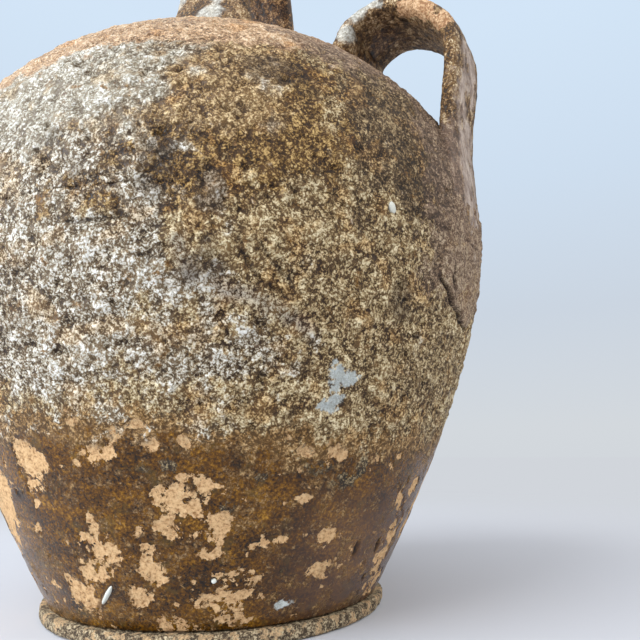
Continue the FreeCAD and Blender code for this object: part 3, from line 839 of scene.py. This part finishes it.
def paint_wall(piece):
    """Stores the masks of the thrown wall."""
    points = all_points(piece)
    bearings, _ = round_wall(points)
    high = points[:, 2]
    shown = 1.0 - ease(np.abs((bearings + 50.0 + 180.0) % 360.0 - 180.0), 70.0, 100.0)
    drift = rough(points, 42.0, 3, 91)
    broken = rough(points, 13.0, 4, 92)
    store(piece, "crusted", crust(points))
    store(piece, "flaked", flaked(points))
    left = 1.0 - ease(bearings + 0.04 * (high - 130.0) - 6.0 * broken, -72.0, -46.0)
    low_band = (1.0 - ease(high, 92.0, 150.0)) * (1.0 - ease(bearings, -62.0, -28.0))
    belt = ease(high + 3.0 * broken, 136.0, 142.0) * (1.0 - ease(high + 9.0 * broken, 148.0, 172.0))
    belt *= 1.0 - ease(bearings + 8.0 * broken, -62.0, -50.0)
    ash = np.maximum(left * (1.0 - 0.42 * belt), 0.8 * low_band) + 0.3 * broken
    ash *= 0.45 + 0.55 * ease(high - glaze_line(points), 2.0, 20.0)
    store(piece, "ash", shown * ash + (1.0 - shown) * ease(drift, -0.3, 0.8))
    centre = ease(high + 8.0 * broken, 128.0, 168.0) * (1.0 - ease(bearings, -44.0, -26.0))
    centre = np.maximum(centre, 0.9 * belt)
    store(piece, "wet", shown * (1.0 - ease(bearings + 6.0 * broken, -64.0, -50.0)))
    honey = shown * (centre + 0.25 * broken) + (1.0 - shown) * ease(-drift, -0.3, 0.8)
    store(piece, "honey", honey)
    umber = ease(high + 10.0 * broken, 128.0, 172.0) * ease(bearings, -46.0, -26.0)
    umber = np.maximum(umber, 0.5 * ease(bearings, -20.0, -6.0) * ease(high, 112.0, 140.0))
    store(piece, "umber", shown * (umber + 0.25 * broken) + (1.0 - shown) * 0.3)
    # A painted pale sheen: the window's reflection on the upper left of the shown side, laid on as
    # lighter crust.
    painted_window_reflection = ease(high, 150.0, 184.0) * (1.0 - ease(bearings, -50.0, -36.0))
    store(piece, "painted_window_reflection", shown * painted_window_reflection)
    dome_edge = 201.0 + 0.5 * np.clip(bearings + 60.0, 0.0, 30.0) + 7.0 * drift + 6.0 * broken
    store(piece, "peach", ease(high - dome_edge, -10.0, 10.0))
    rosy = ease(high, 192.0, 222.0) * (1.0 - ease(high + 8.0 * broken, 222.0, 250.0))
    rosy *= ease(bearings + 14.0 * drift + 10.0 * broken, -62.0, -26.0)
    beside = ease(bearings, -26.0, -10.0) * (1.0 - ease(bearings, 20.0, 30.0))
    beside *= ease(high, 112.0, 134.0) * (1.0 - ease(high, 200.0, 224.0))
    store(piece, "rosy", np.maximum(np.maximum(shown * rosy, 0.9 * leaf(points)), 0.85 * beside))
    # A painted violet-grey reflection of the pale backdrop on the glaze, low on the right.
    painted_backdrop_reflection = ease(bearings, -50.0, -22.0) * (1.0 - ease(high, 34.0, 66.0))
    store(piece, "painted_backdrop_reflection", painted_backdrop_reflection)
    limed = np.minimum(spots(points, LIME), 0.5) + 0.5 * rough(points, 3.4, 3, 97)
    store(piece, "limed", limed)
    store(piece, "streaked", scratch(points, PALE_STREAK, 4.2))
    # Dark patches at the dark spots. The lines below add painted shade in the creases, the leaf's
    # cracks and the holes, a painted shadow beside the long drop, and the dark joint above the
    # foot.
    dark = np.minimum(spots(points, DARK_SPOTS), 0.5) + 0.5 * broken
    dark = 0.55 * ease(dark, 0.0, 0.5)
    wander = wandering(points)
    for places, half_wide, _ in CREASES:
        dark = np.maximum(dark, 0.7 * ease(scratch(wander, places, half_wide * 1.2), 0.2, 0.9))
    for places in LEAF_CRACKS:
        dark = np.maximum(dark, ease(scratch(wander, places, 1.3), 0.2, 0.8))
    holes = spots(points, [place for *place, _ in DENTS[1:5]])
    dark = np.maximum(dark, ease(holes, 0.0, 0.5))
    dark = np.maximum(dark, 0.8 * ease(scratch(points, BESIDE_DROP, 2.0), 0.1, 0.6))
    dark = np.maximum(dark, ease(-high, -(BASE_HEIGHT + 1.5), -(BASE_HEIGHT + 0.4)))
    store(piece, "dark_patches_and_painted_shade", dark)
    scab = shown * (np.minimum(spots(points, SCABS), 0.4) + 0.6) - 0.6
    scab = np.maximum(scab, rough(points, 19.0, 2, 99) - 1.15)
    store(piece, "scabbed", scab + 0.5 * rough(points, 4.0, 3, 98))


for wall in (lower_wall, upper_wall):
    paint_wall(wall)
    print(wall.name, "has", len(wall.data.attributes), "attributes with its masks")

# %% Painting the masks of the straps
def patch_of(points, balls, seed):
    """A patch with a ragged edge over several balls of (x, y, z, radius): above 0 inside."""
    inside = np.full(len(points), -1.0)
    for *middle, radius in balls:
        inside = np.maximum(inside, 1.0 - np.linalg.norm(points - middle, axis=1) / radius)
    return np.clip(inside, -1.0, 0.5) + 0.55 * rough(points, 8.0, 4, seed)


# MINT and NEAR_PALE place painted highlights, SIDE_PALE the smoothed outer face with its painted
# reflection, and SHADED and FAR_DARK painted shade inside the arch and on the far leg.
MINT = [(83.0, -22.0, 254.0, 7.0), (88.0, -20.0, 264.0, 6.0), (95.0, -19.0, 268.0, 5.0)]
RUBBED = [(114.0, -18.0, 264.0, 8.0), (120.0, -18.0, 256.0, 8.0), (125.0, -18.0, 249.0, 6.0)]
SHADED = [(84.0, -2.0, 247.0, 15.0), (96.0, 0.0, 259.0, 10.0), (70.0, 40.0, 250.0, 14.0)]
SIDE_PALE = [(133.0, -3.0, float(height), 13.0) for height in range(162, 233, 10)]
NEAR_PALE = [
    (24.0, -50.0, 270.0, 8.0), (26.0, -48.0, 282.0, 9.0),
    (20.0, -48.0, 294.0, 9.0), (8.0, -52.0, 286.0, 7.0),
]
TOP_RUBBED = [(-28.0, 20.0, 352.0, 12.0), (30.0, -30.0, 340.0, 10.0)]
FAR_DARK = [
    (6.0, 34.0, 330.0, 26.0), (8.0, 36.0, 305.0, 22.0),
    (8.0, 40.0, 285.0, 22.0), (10.0, 36.0, 345.0, 16.0),
]


def paint_strap(piece, pale, rubbed, dark, outer_pale):
    """Stores the masks of a strap."""
    points = all_points(piece)
    store(piece, "raised", 0.5 + 0.5 * rough(points, 3.0, 2, 141))
    # Patches of painted highlight, rubbed clay, painted shade, and the smoothed face with its
    # painted reflection.
    patches = {"painted_highlight": pale, "rubbed": rubbed, "shaded": dark, "smoothed_with_painted_reflection": outer_pale}
    for seed, (name, balls) in zip((101, 111, 121, 131), patches.items()):
        store(piece, name, patch_of(points, balls, seed))
    low_edge = ease(np.abs(points[:, 1]), 8.0, 15.0) * (1.0 - ease(points[:, 2], 186.0, 214.0))
    store(piece, "crusted", low_edge if outer_pale else np.zeros(len(points)))


paint_strap(side_strap, MINT, RUBBED, SHADED, SIDE_PALE)
paint_strap(top_strap, NEAR_PALE, TOP_RUBBED, FAR_DARK, [])
print("masks on", side_strap.name, "and", top_strap.name)

# %% [markdown]
# ## Mixing finishes
#
# A node material is a recipe. To keep the recipes readable we make small helpers that add one
# node, wire it and hand back its output. Every noise works in the jug's own millimetres, from the
# Object coordinates, so the grain has its real size and runs on from piece to piece.

# %% Node helpers
def colour(red, green, blue):
    """A colour as it looks on a screen, 0 to 255, as the linear colour that a shader wants."""
    shares = [c / 255.0 for c in (red, green, blue)]
    return (*(s / 12.92 if s <= 0.04045 else ((s + 0.055) / 1.055) ** 2.4 for s in shares), 1.0)


class Nodes:
    """The nodes of one tree, added one by one."""

    def __init__(self, tree):
        self.tree = tree

    def feed(self, socket, source):
        """Wires an output to a socket, or sets the socket to a plain value."""
        if isinstance(source, bpy.types.NodeSocket):
            self.tree.links.new(source, socket)
        elif source is not None:
            socket.default_value = source

    def add(self, kind, feeds=(), **settings):
        """Adds a node. feeds says what goes into its sockets, by their names or numbers."""
        node = self.tree.nodes.new(kind)
        for key, setting in settings.items():
            setattr(node, key, setting)
        for socket, source in dict(feeds).items():
            self.feed(node.inputs[socket], source)
        return node

    def maths(self, kind, a, b, c=None):
        return self.add("ShaderNodeMath", {0: a, 1: b, 2: c}, operation=kind).outputs[0]

    def times(self, a, b):
        return self.maths("MULTIPLY", a, b)

    def most(self, a, b):
        return self.maths("MAXIMUM", a, b)

    def total(self, *parts):
        """The sum of (source, share) pairs."""
        result = 0.0
        for source, share in parts:
            result = self.maths("MULTIPLY_ADD", source, share, result)
        return result

    def ramp(self, value, *stops):
        """A colour from stops of (place, (red, green, blue))."""
        node = self.add("ShaderNodeValToRGB", {0: value})
        elements = node.color_ramp.elements
        for element, (place, shade) in zip(elements, (stops[0], stops[-1])):
            element.position, element.color = place, colour(*shade)
        for place, shade in stops[1:-1]:
            elements.new(place).color = colour(*shade)
        return node.outputs[0]

    def picture(self, output, real, pictured, share=1.0):
        """Shows the camera a pictured shader. Light and shadow work with the real one."""
        seen = self.add("ShaderNodeLightPath").outputs["Is Camera Ray"]
        feeds = {0: self.times(seen, share), 1: real, 2: pictured}
        self.feed(output, self.add("ShaderNodeMixShader", feeds).outputs[0])


class Recipe(Nodes):
    """The nodes of a material, whose noises are sized in millimetres."""

    def __init__(self, name):
        self.material = bpy.data.materials.new(name)
        self.material.use_nodes = True
        super().__init__(self.material.node_tree)
        self.tree.nodes.clear()
        self.shader = self.add("ShaderNodeBsdfPrincipled")
        self.output = self.add("ShaderNodeOutputMaterial", {0: self.shader.outputs[0]}).inputs[0]
        feeds = {0: self.add("ShaderNodeTexCoord").outputs["Object"], "Scale": 1.0 / MM}
        self.millimetres = self.add("ShaderNodeVectorMath", feeds, operation="SCALE").outputs[0]

    def moved(self, shift, stretch=(1.0, 1.0, 1.0)):
        location = (shift, shift * 0.7, -shift)
        feeds = {0: self.millimetres, "Location": location, "Scale": stretch}
        return self.add("ShaderNodeMapping", feeds).outputs[0]

    def noise(self, size, detail=2.0, roughness=0.5, shift=0.0, stretch=(1.0, 1.0, 1.0)):
        """Noise about 0.5 with features about size millimetres wide."""
        feeds = {"Scale": 1.0 / size, "Detail": detail, "Roughness": roughness}
        feeds["Vector"] = self.moved(shift, stretch)
        return self.add("ShaderNodeTexNoise", feeds).outputs["Fac"]

    def cells(self, size, shift=0.0):
        """Rounded granules: 1 in the middle of each, low in the creases between them."""
        feeds = {"Scale": 0.8 / size, "Vector": self.moved(shift)}
        bend = self.add("ShaderNodeTexNoise", feeds).outputs["Color"]
        feeds = {0: bend, 1: [2.4 * size] * 3, 2: self.millimetres}
        bent = self.add("ShaderNodeVectorMath", feeds, operation="MULTIPLY_ADD").outputs[0]
        node = self.add("ShaderNodeTexVoronoi", {"Scale": 1.0 / size, "Vector": bent})
        return self.total((node.outputs["Distance"], -1.0), (1.0, 1.0))

    def mask(self, name):
        return self.add("ShaderNodeAttribute", attribute_name=name).outputs["Fac"]

    def step(self, value, low, high):
        """0 below low, 1 above high."""
        feeds = {"Value": value, "From Min": low, "From Max": high}
        node = self.add("ShaderNodeMapRange", feeds, interpolation_type="SMOOTHSTEP")
        return node.outputs["Result"]

    def ragged(self, name, low, high, shift, *noises):
        """A mask whose edge is frayed by (noise, share) pairs: 0 below low, 1 above high."""
        return self.step(self.total((self.mask(name), 1.0), *noises, (1.0, shift)), low, high)

    def blend(self, share, first, second, kind="MIX"):
        """The second colour over the first. It may be a plain (red, green, blue)."""
        second = colour(*second) if isinstance(second, tuple) else second
        feeds = {0: share, 6: first, 7: second}  # the two colour sockets are 6 and 7
        return self.add("ShaderNodeMix", feeds, data_type="RGBA", blend_type=kind).outputs[2]

    def between(self, share, first, second):
        feeds = {0: share, 2: first, 3: second}  # the two number sockets are 2 and 3
        return self.add("ShaderNodeMix", feeds, data_type="FLOAT").outputs[0]

    def bump(self, height, distance, normal=None):
        """Relief too fine for the mesh. distance is its height in millimetres."""
        feeds = {"Distance": distance * MM, "Height": height, "Normal": normal}
        return self.add("ShaderNodeBump", feeds).outputs[0]

    def finished(self, shade, roughness, normal=None, specular=None):
        """The material, once its shader has these."""
        names = ("Base Color", "Roughness", "Normal", "Specular IOR Level")
        for name, source in zip(names, (shade, roughness, normal, specular)):
            self.feed(self.shader.inputs[name], source)
        return self.material


print("recipe helpers ready")

# %% [markdown]
# ## Crust, glaze and bare clay
#
# The crust is lime and ash that baked onto the clay: pale crumbs a millimetre wide on a dark
# ground. Rounded cells, plates and grit together make the crumbs, and a colour ramp turns their
# height, and the height of the mesh, into dark gaps and pale tops: the gaps are partly the dark
# ground and partly painted shade. Each zone of the wall has a ramp of its own, and a painted pale
# sheen from the window lightens the crust on the upper left. The glaze is a smooth, glossy honey
# brown that pools darker in places, with a painted violet-grey reflection low on the right. The
# bare clay is buff and dull.

# %% The finish of the wall
RAMPS = {  # dark gap, low ground, middle, pale top
    "khaki": ((48, 31, 15), (120, 93, 56), (188, 163, 118), (240, 224, 186)),
    "honey": ((28, 15, 4), (80, 53, 20), (128, 95, 46), (204, 170, 110)),
    "umber": ((30, 20, 10), (72, 54, 32), (116, 92, 62), (184, 160, 120)),
    "ash": ((44, 29, 15), (122, 101, 72), (200, 189, 166), (250, 248, 242)),
    "peach": ((100, 76, 54), (186, 148, 110), (224, 186, 146), (244, 222, 190)),
    # The next two are the honey and ash crusts lightened by the painted sheen from the window.
    "honey_with_painted_reflection": ((62, 40, 18), (126, 96, 56), (176, 144, 98), (236, 210, 164)),
    "ash_with_painted_reflection": ((92, 76, 54), (164, 154, 132), (206, 200, 184), (242, 240, 232)),
    "smeared": ((76, 60, 48), (108, 86, 70), (140, 114, 94), (188, 164, 140)),
    "tan": ((50, 32, 10), (104, 74, 32), (146, 110, 62), (208, 172, 120)),
    "scab": ((36, 28, 16), (70, 56, 36), (104, 86, 58), (160, 140, 104)),
    "mottled": ((26, 15, 6), (84, 57, 28), (146, 112, 68), (224, 202, 164)),
    # The painted shade inside the straps' arch and on the far leg.
    "inner": ((14, 6, 0), (52, 30, 8), (104, 70, 34), (186, 150, 104)),
    "gritty": ((70, 56, 40), (124, 106, 80), (160, 140, 110), (206, 188, 154)),
}


def crumbs(mix, shift=0.0):
    """Crumbs of crust from 0, a gap, to 1, a pale top. Dark gaps are partly ground, partly painted
    shade.
    """
    plates = mix.noise(2.6, 5.0, 0.74, shift)
    granules = mix.cells(1.05, shift + 7.0)
    grit = mix.noise(0.55, 2.0, 0.6, shift + 31.0)
    return mix.step(mix.total((plates, 0.5), (granules, 0.24), (grit, 0.26)), 0.4, 0.62)


def four_shades(mix, value, name):
    """The colours of a ramp, from the gaps at a low value to the tops at a high one."""
    return mix.ramp(value, *zip((0.1, 0.33, 0.56, 0.87), RAMPS[name]))


def wall_finish(name):
    """Crust above, glaze below, bare clay where the glaze has flaked off."""
    mix = Recipe(name)
    crumb = crumbs(mix)
    # Low crumbs and low places of the mesh come out darker: partly dark ground, partly painted
    # shade.
    level = mix.total((crumb, 0.66), (mix.mask("raised"), 0.34))
    patch = mix.noise(8.0, 4.0, 0.62, 15.0)
    fray = mix.noise(1.9, 4.0, 0.72, 65.0)

    def zone(part, low=0.3, high=0.7):
        """A zone's mask with patchy and frayed edges."""
        return mix.ragged(part, low, high, -1.4, (patch, 1.7), (fray, 1.1))

    def shades(part):
        return four_shades(mix, level, part)

    crust_colour = shades("khaki")
    for part in ("umber", "honey", "ash"):
        crust_colour = mix.blend(zone(part), crust_colour, shades(part))
    # The painted sheen from the window: lighter honey and ash crust on the upper left.
    reflected_shades = mix.blend(zone("ash", 0.1, 0.9), shades("honey_with_painted_reflection"), shades("ash_with_painted_reflection"))
    crust_colour = mix.blend(mix.times(zone("painted_window_reflection"), 0.8), crust_colour, reflected_shades)
    crust_colour = mix.blend(zone("peach"), crust_colour, shades("peach"))
    golden = mix.step(mix.noise(13.0, 3.0, 0.6, 85.0), 0.53, 0.64)
    murky = mix.step(mix.noise(9.0, 4.0, 0.65, 95.0), 0.55, 0.66)
    for stain, shade in ((golden, (255, 214, 140)), (murky, (150, 138, 124))):
        crust_colour = mix.blend(mix.times(stain, 0.4), crust_colour, shade, "MULTIPLY")
    crust_colour = mix.blend(mix.times(zone("rosy"), 0.75), crust_colour, shades("smeared"))

    pool = mix.noise(15.0, 4.0, 0.62, 45.0, (1.0, 1.0, 1.6))
    fleck = mix.noise(1.1, 4.0, 0.72, 55.0)
    glaze = mix.ramp(
        mix.total((pool, 0.7), (fleck, 1.15), (1.0, -0.425)),
        *((0.32, (30, 16, 0)), (0.5, (80, 48, 0)), (0.64, (122, 81, 6)), (0.78, (178, 132, 46))),
    )
    olive = mix.step(mix.noise(7.0, 3.0, 0.6, 75.0), 0.58, 0.66)
    glaze = mix.blend(mix.times(olive, 0.5), glaze, (84, 66, 26))
    # The painted reflection of the backdrop on the glaze.
    glaze = mix.blend(mix.times(mix.mask("painted_backdrop_reflection"), 0.4), glaze, (100, 78, 70))
    frayed = mix.ragged("band", 0.2, 0.9, -2.2, (patch, 2.4), (fray, 2.4))
    glaze = mix.blend(frayed, glaze, shades("tan"))
    scab = mix.ragged("scabbed", 0.0, 0.3, -1.1, (fray, 2.0))
    glaze = mix.blend(scab, glaze, four_shades(mix, crumb, "scab"))

    bare = mix.ragged("flaked", 0.0, 0.05, -1.02, (fray, 2.0))
    clay = mix.ramp(
        mix.noise(1.2, 4.0, 0.7, 105.0),
        *((0.36, (146, 108, 68)), (0.46, (200, 160, 114)), (0.62, (220, 186, 140))),
    )
    crusted = mix.ragged("crusted", 0.3, 0.6, -2.8, (patch, 3.0), (fray, 2.6))
    crusted = mix.times(crusted, mix.step(mix.mask("band"), 0.05, 0.5))
    finish = mix.blend(crusted, mix.blend(bare, glaze, clay), crust_colour)
    streaked = mix.times(mix.mask("streaked"), mix.step(crumb, 0.1, 0.6))
    finish = mix.blend(mix.times(streaked, 0.6), finish, (186, 180, 170))
    limed = mix.ragged("limed", 0.05, 0.4, -1.0, (fray, 2.0))
    pale_shades = mix.ramp(crumb, (0.0, (176, 180, 174)), (0.6, (208, 214, 212)))
    finish = mix.blend(limed, finish, pale_shades)
    # Dark patches, with painted shade in creases, cracks and holes and a painted shadow beside the
    # drop.
    finish = mix.blend(mix.mask("dark_patches_and_painted_shade"), finish, (96, 78, 66), "MULTIPLY")

    matt = mix.between(mix.mask("wet"), 0.58, 0.22)
    gloss = mix.between(bare, mix.between(frayed, 0.2, 0.5), 0.85)
    gloss = mix.between(limed, mix.between(crusted, gloss, matt), 0.9)
    rough_ground = mix.most(crusted, mix.most(mix.times(frayed, 0.8), scab))
    crust_bump = mix.bump(mix.times(crumb, rough_ground), 0.55)
    coated = mix.most(mix.maths("SUBTRACT", 1.0, bare), crusted)
    normal = mix.bump(mix.total((coated, 1.0), (fleck, 0.5)), 0.25, crust_bump)
    return mix.finished(finish, gloss, normal, 0.3)


def coat(material, *pieces):
    """Gives pieces one finish all over."""
    for piece in pieces:
        piece.data.materials.clear()
        piece.data.materials.append(material)
    print(material.name, "has", len(material.node_tree.nodes), "nodes")


coat(wall_finish("flaked_honey_glaze"), lower_wall)
coat(wall_finish("crusted_clay"), upper_wall)

# %% [markdown]
# ## Straps, collars and foot
#
# The straps were glazed too and handled more than anything else, so they are smoother: brown and
# glossy inside the arch, where painted shade darkens the side strap's arch and the top strap's far
# leg, and rubbed down to orange-buff clay on one edge. A painted highlight lies nearly white on the
# side strap's upper arch and on the top strap's near leg, and the side strap's outer face is pale
# rose, partly its own smoothed clay and partly a painted reflection. The collars carry the same
# crust as the dome. The foot is grey-brown, gritty and dull.

# %% The finish of the straps
def strap_finish(name):
    """Mottled glaze with painted shade, a painted highlight, rubbed clay and a painted reflection.
    """
    mix = Recipe(name)
    crumb = crumbs(mix, 120.0)
    streaks = mix.noise(4.2, 4.0, 0.66, 140.0, (1.0, 1.0, 0.55))
    streaky = mix.step(streaks, 0.36, 0.66)
    level = mix.total((crumb, 0.45), (mix.mask("raised"), 0.2), (streaky, 0.35))
    fray = mix.noise(2.4, 4.0, 0.7, 160.0)

    def patch(part, share, low=0.0, high=0.12):
        return mix.times(mix.ragged(part, low, high, -0.5, (fray, 1.0)), share)

    # Painted highlight on the pale patches, painted reflection on the smoothed face, painted shade
    # on the shaded patches.
    smoothed_with_painted_reflection, painted_highlight = patch("smoothed_with_painted_reflection", 0.8, -0.1, 0.5), patch("painted_highlight", 0.8, 0.0, 0.5)
    rubbed, shaded = patch("rubbed", 0.95), patch("shaded", 1.0, 0.0, 0.4)
    merged = mix.ragged("crusted", 0.3, 0.7, -1.2, (fray, 2.4))
    rose = ((0.36, (134, 114, 102)), (0.5, (172, 154, 142)), (0.66, (204, 190, 180)))
    clay = ((0.05, (150, 108, 72)), (0.4, (214, 170, 126)), (0.9, (228, 192, 152)))
    # The pale shades of the painted highlight.
    pale_shades = ((0.0, (150, 144, 130)), (0.4, (188, 188, 180)), (0.95, (212, 214, 208)))
    finish = four_shades(mix, level, "mottled")
    for share, layer in (
        (shaded, four_shades(mix, level, "inner")),
        (smoothed_with_painted_reflection, mix.ramp(streaks, *rose)),
        (merged, four_shades(mix, level, "smeared")),
        (rubbed, mix.ramp(crumb, *clay)),
        (painted_highlight, mix.ramp(crumb, *pale_shades)),
    ):
        finish = mix.blend(share, finish, layer)
    smooth_part = mix.most(mix.most(smoothed_with_painted_reflection, painted_highlight), shaded)
    gloss = mix.between(rubbed, mix.between(smooth_part, 0.42, 0.3), 0.7)
    rough_part = mix.total((smooth_part, -0.75), (1.0, 1.0))
    return mix.finished(finish, gloss, mix.bump(mix.times(crumb, rough_part), 0.5), 0.35)


coat(strap_finish("mottled_brown_glaze"), side_strap, top_strap)

# %% The finish of the collars, the foot and the stuck bits
def small_finish(name, shades, rubbed, gloss, rub_at, bump_height):
    """A crusted and rubbed finish for the small pieces."""
    mix = Recipe(name)
    crumb = crumbs(mix, 120.0)
    rub = mix.step(mix.noise(6.0, 4.0, 0.66, 130.0), rub_at, rub_at + 0.03)
    clay = mix.ramp(crumb, (0.05, [0.75 * c for c in rubbed]), (0.5, rubbed))
    finish = mix.blend(rub, four_shades(mix, crumb, shades), clay)
    return mix.finished(finish, mix.between(rub, gloss, 0.8), mix.bump(crumb, bump_height))


coat(small_finish("collar_clay", "peach", (214, 172, 130), 0.55, 0.58, 0.5), mouth, spout)
coat(small_finish("foot_grit", "gritty", (218, 184, 140), 0.8, 0.53, 0.6), foot)
coat(Recipe("white_glass").finished(colour(214, 218, 210), 0.12), long_drop, round_drop)
coat(Recipe("pale_grit").finished(colour(206, 206, 194), 0.7), grit_chip)

# %% [markdown]
# ## Floor, light and camera
#
# The jug stands on a pale sheet near a window. A broad, slightly blue lamp on the left plays the
# window, a weaker one on the right plays a far wall, and the world's soft glow plays the white
# room. The sheet bounces light up onto the belly. It is pictured as one even ground that runs up
# behind the jug: near the jug it is a real matt floor that keeps the shadow, and farther off it
# fades into the colour of the backdrop. The camera is held low and close, about a hand's length
# from the wall, looking a little up. Its place was worked out from the outline of the jug.

# %% The pale sheet and the room
scene = bpy.context.scene
scene.view_settings.view_transform = "Standard"
SHEET_REACH = 2.5  # metres from the jug's axis to the sheet's sides
BACKDROP = [  # how high the view looks, colour
    (-0.60, (192, 196, 207)),
    (-0.38, (200, 205, 213)),
    (-0.16, (207, 211, 217)),
    (0.02, (211, 216, 221)),
    (0.20, (203, 213, 225)),
    (0.40, (206, 222, 239)),
    (0.60, (211, 229, 247)),
    (0.80, (208, 226, 245)),
]

sheet_mesh = bpy.data.meshes.new("pale_sheet")
corners = [(x * SHEET_REACH, y * SHEET_REACH, 0) for x, y in ((-1, -1), (1, -1), (1, 1), (-1, 1))]
sheet_mesh.from_pydata(corners, [], [(0, 1, 2, 3)])
sheet = bpy.data.objects.new("pale_sheet", sheet_mesh)
scene.collection.objects.link(sheet)
sheet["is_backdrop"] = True
cloth = Recipe("pale_sheet")
coat(cloth.finished(colour(206, 209, 217), 0.9, specular=0.1), sheet)
far = cloth.add("ShaderNodeVectorMath", {0: cloth.millimetres}, operation="LENGTH")
faded = cloth.step(far.outputs["Value"], 150.0, 620.0)
even = cloth.add("ShaderNodeEmission", {"Color": colour(209, 213, 219)})
cloth.picture(cloth.output, cloth.shader.outputs[0], even.outputs[0], faded)

world = bpy.data.worlds.new("white_room")
scene.world = world
world.use_nodes = True
room = Nodes(world.node_tree)
directions = room.add("ShaderNodeTexCoord").outputs["Generated"]
height = room.add("ShaderNodeSeparateXYZ", {0: directions}).outputs["Z"]
halved = [(0.5 + place / 2, shade) for place, shade in BACKDROP]
backdrop = room.ramp(room.total((height, 0.5), (1.0, 0.5)), *halved)
shown = room.add("ShaderNodeBackground", {"Color": backdrop})
feeds = {0: directions, 1: (-0.5, -0.62, 0.6)}  # the second is the way to the window
towards = room.add("ShaderNodeVectorMath", feeds, operation="DOT_PRODUCT").outputs["Value"]
feeds = {"Value": towards, "From Min": -0.9, "From Max": 0.9, "To Min": 0.24, "To Max": 0.78}
brightness = room.add("ShaderNodeMapRange", feeds).outputs["Result"]
glow = room.tree.nodes["Background"]
room.feed(glow.inputs["Color"], (0.95, 0.97, 1.0, 1.0))
room.feed(glow.inputs["Strength"], brightness)
room.picture(room.tree.nodes["World Output"].inputs[0], glow.outputs[0], shown.outputs[0])
print("sheet laid in a white room")

# %% Window and camera
def lamp(name, bearing, elevation, distance, size, watts, tint):
    """A soft lamp aimed at the middle of the jug."""
    light = bpy.data.lights.new(name, "AREA")
    light.shape = "RECTANGLE"
    light.size, light.size_y = size
    light.energy = watts
    light.color = tint
    holder = bpy.data.objects.new(name, light)
    scene.collection.objects.link(holder)
    turn, rise = math.radians(bearing), math.radians(elevation)
    way = Vector((math.cos(turn) * math.cos(rise), math.sin(turn) * math.cos(rise), math.sin(rise)))
    holder.location = Vector((0.0, 0.0, 0.13)) + way * distance
    holder.rotation_euler = (-way).to_track_quat("-Z", "Y").to_euler()


lamp("window", -118.0, 30.0, 1.1, (1.1, 1.5), 23.0, (0.94, 0.97, 1.0))
lamp("far_wall", 5.0, 30.0, 1.4, (1.2, 1.2), 11.0, (1.0, 0.98, 0.95))

LENS, SENSOR = 33.75, 36.0  # millimetres, as on a photo camera
CAMERA_PLACE = (0.1856, -0.2419, 0.07)
CAMERA_RIGHT = (0.88001, 0.47476, -0.01367)
CAMERA_UP = (0.10753, -0.17113, 0.97936)
CAMERA_BACK = (0.46262, -0.86332, -0.20164)
camera = bpy.data.objects.new("camera", bpy.data.cameras.new("camera"))
scene.collection.objects.link(camera)
camera.matrix_world = Matrix(
    [*zip(CAMERA_RIGHT, CAMERA_UP, CAMERA_BACK, CAMERA_PLACE), (0.0, 0.0, 0.0, 1.0)]
)
camera.data.sensor_width = SENSOR
camera.data.lens = LENS
camera.data.clip_start = 0.01
scene.camera = camera
print("the camera sees", round(math.degrees(2 * math.atan(SENSOR / 2 / LENS)), 1), "degrees")

# %% Size of what was made
shown_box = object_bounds()
for label, (low, high) in (("measured", cad_box), ("dressed", shown_box)):
    print(label, "box", [round(v / MM, 1) for v in low], [round(v / MM, 1) for v in high])
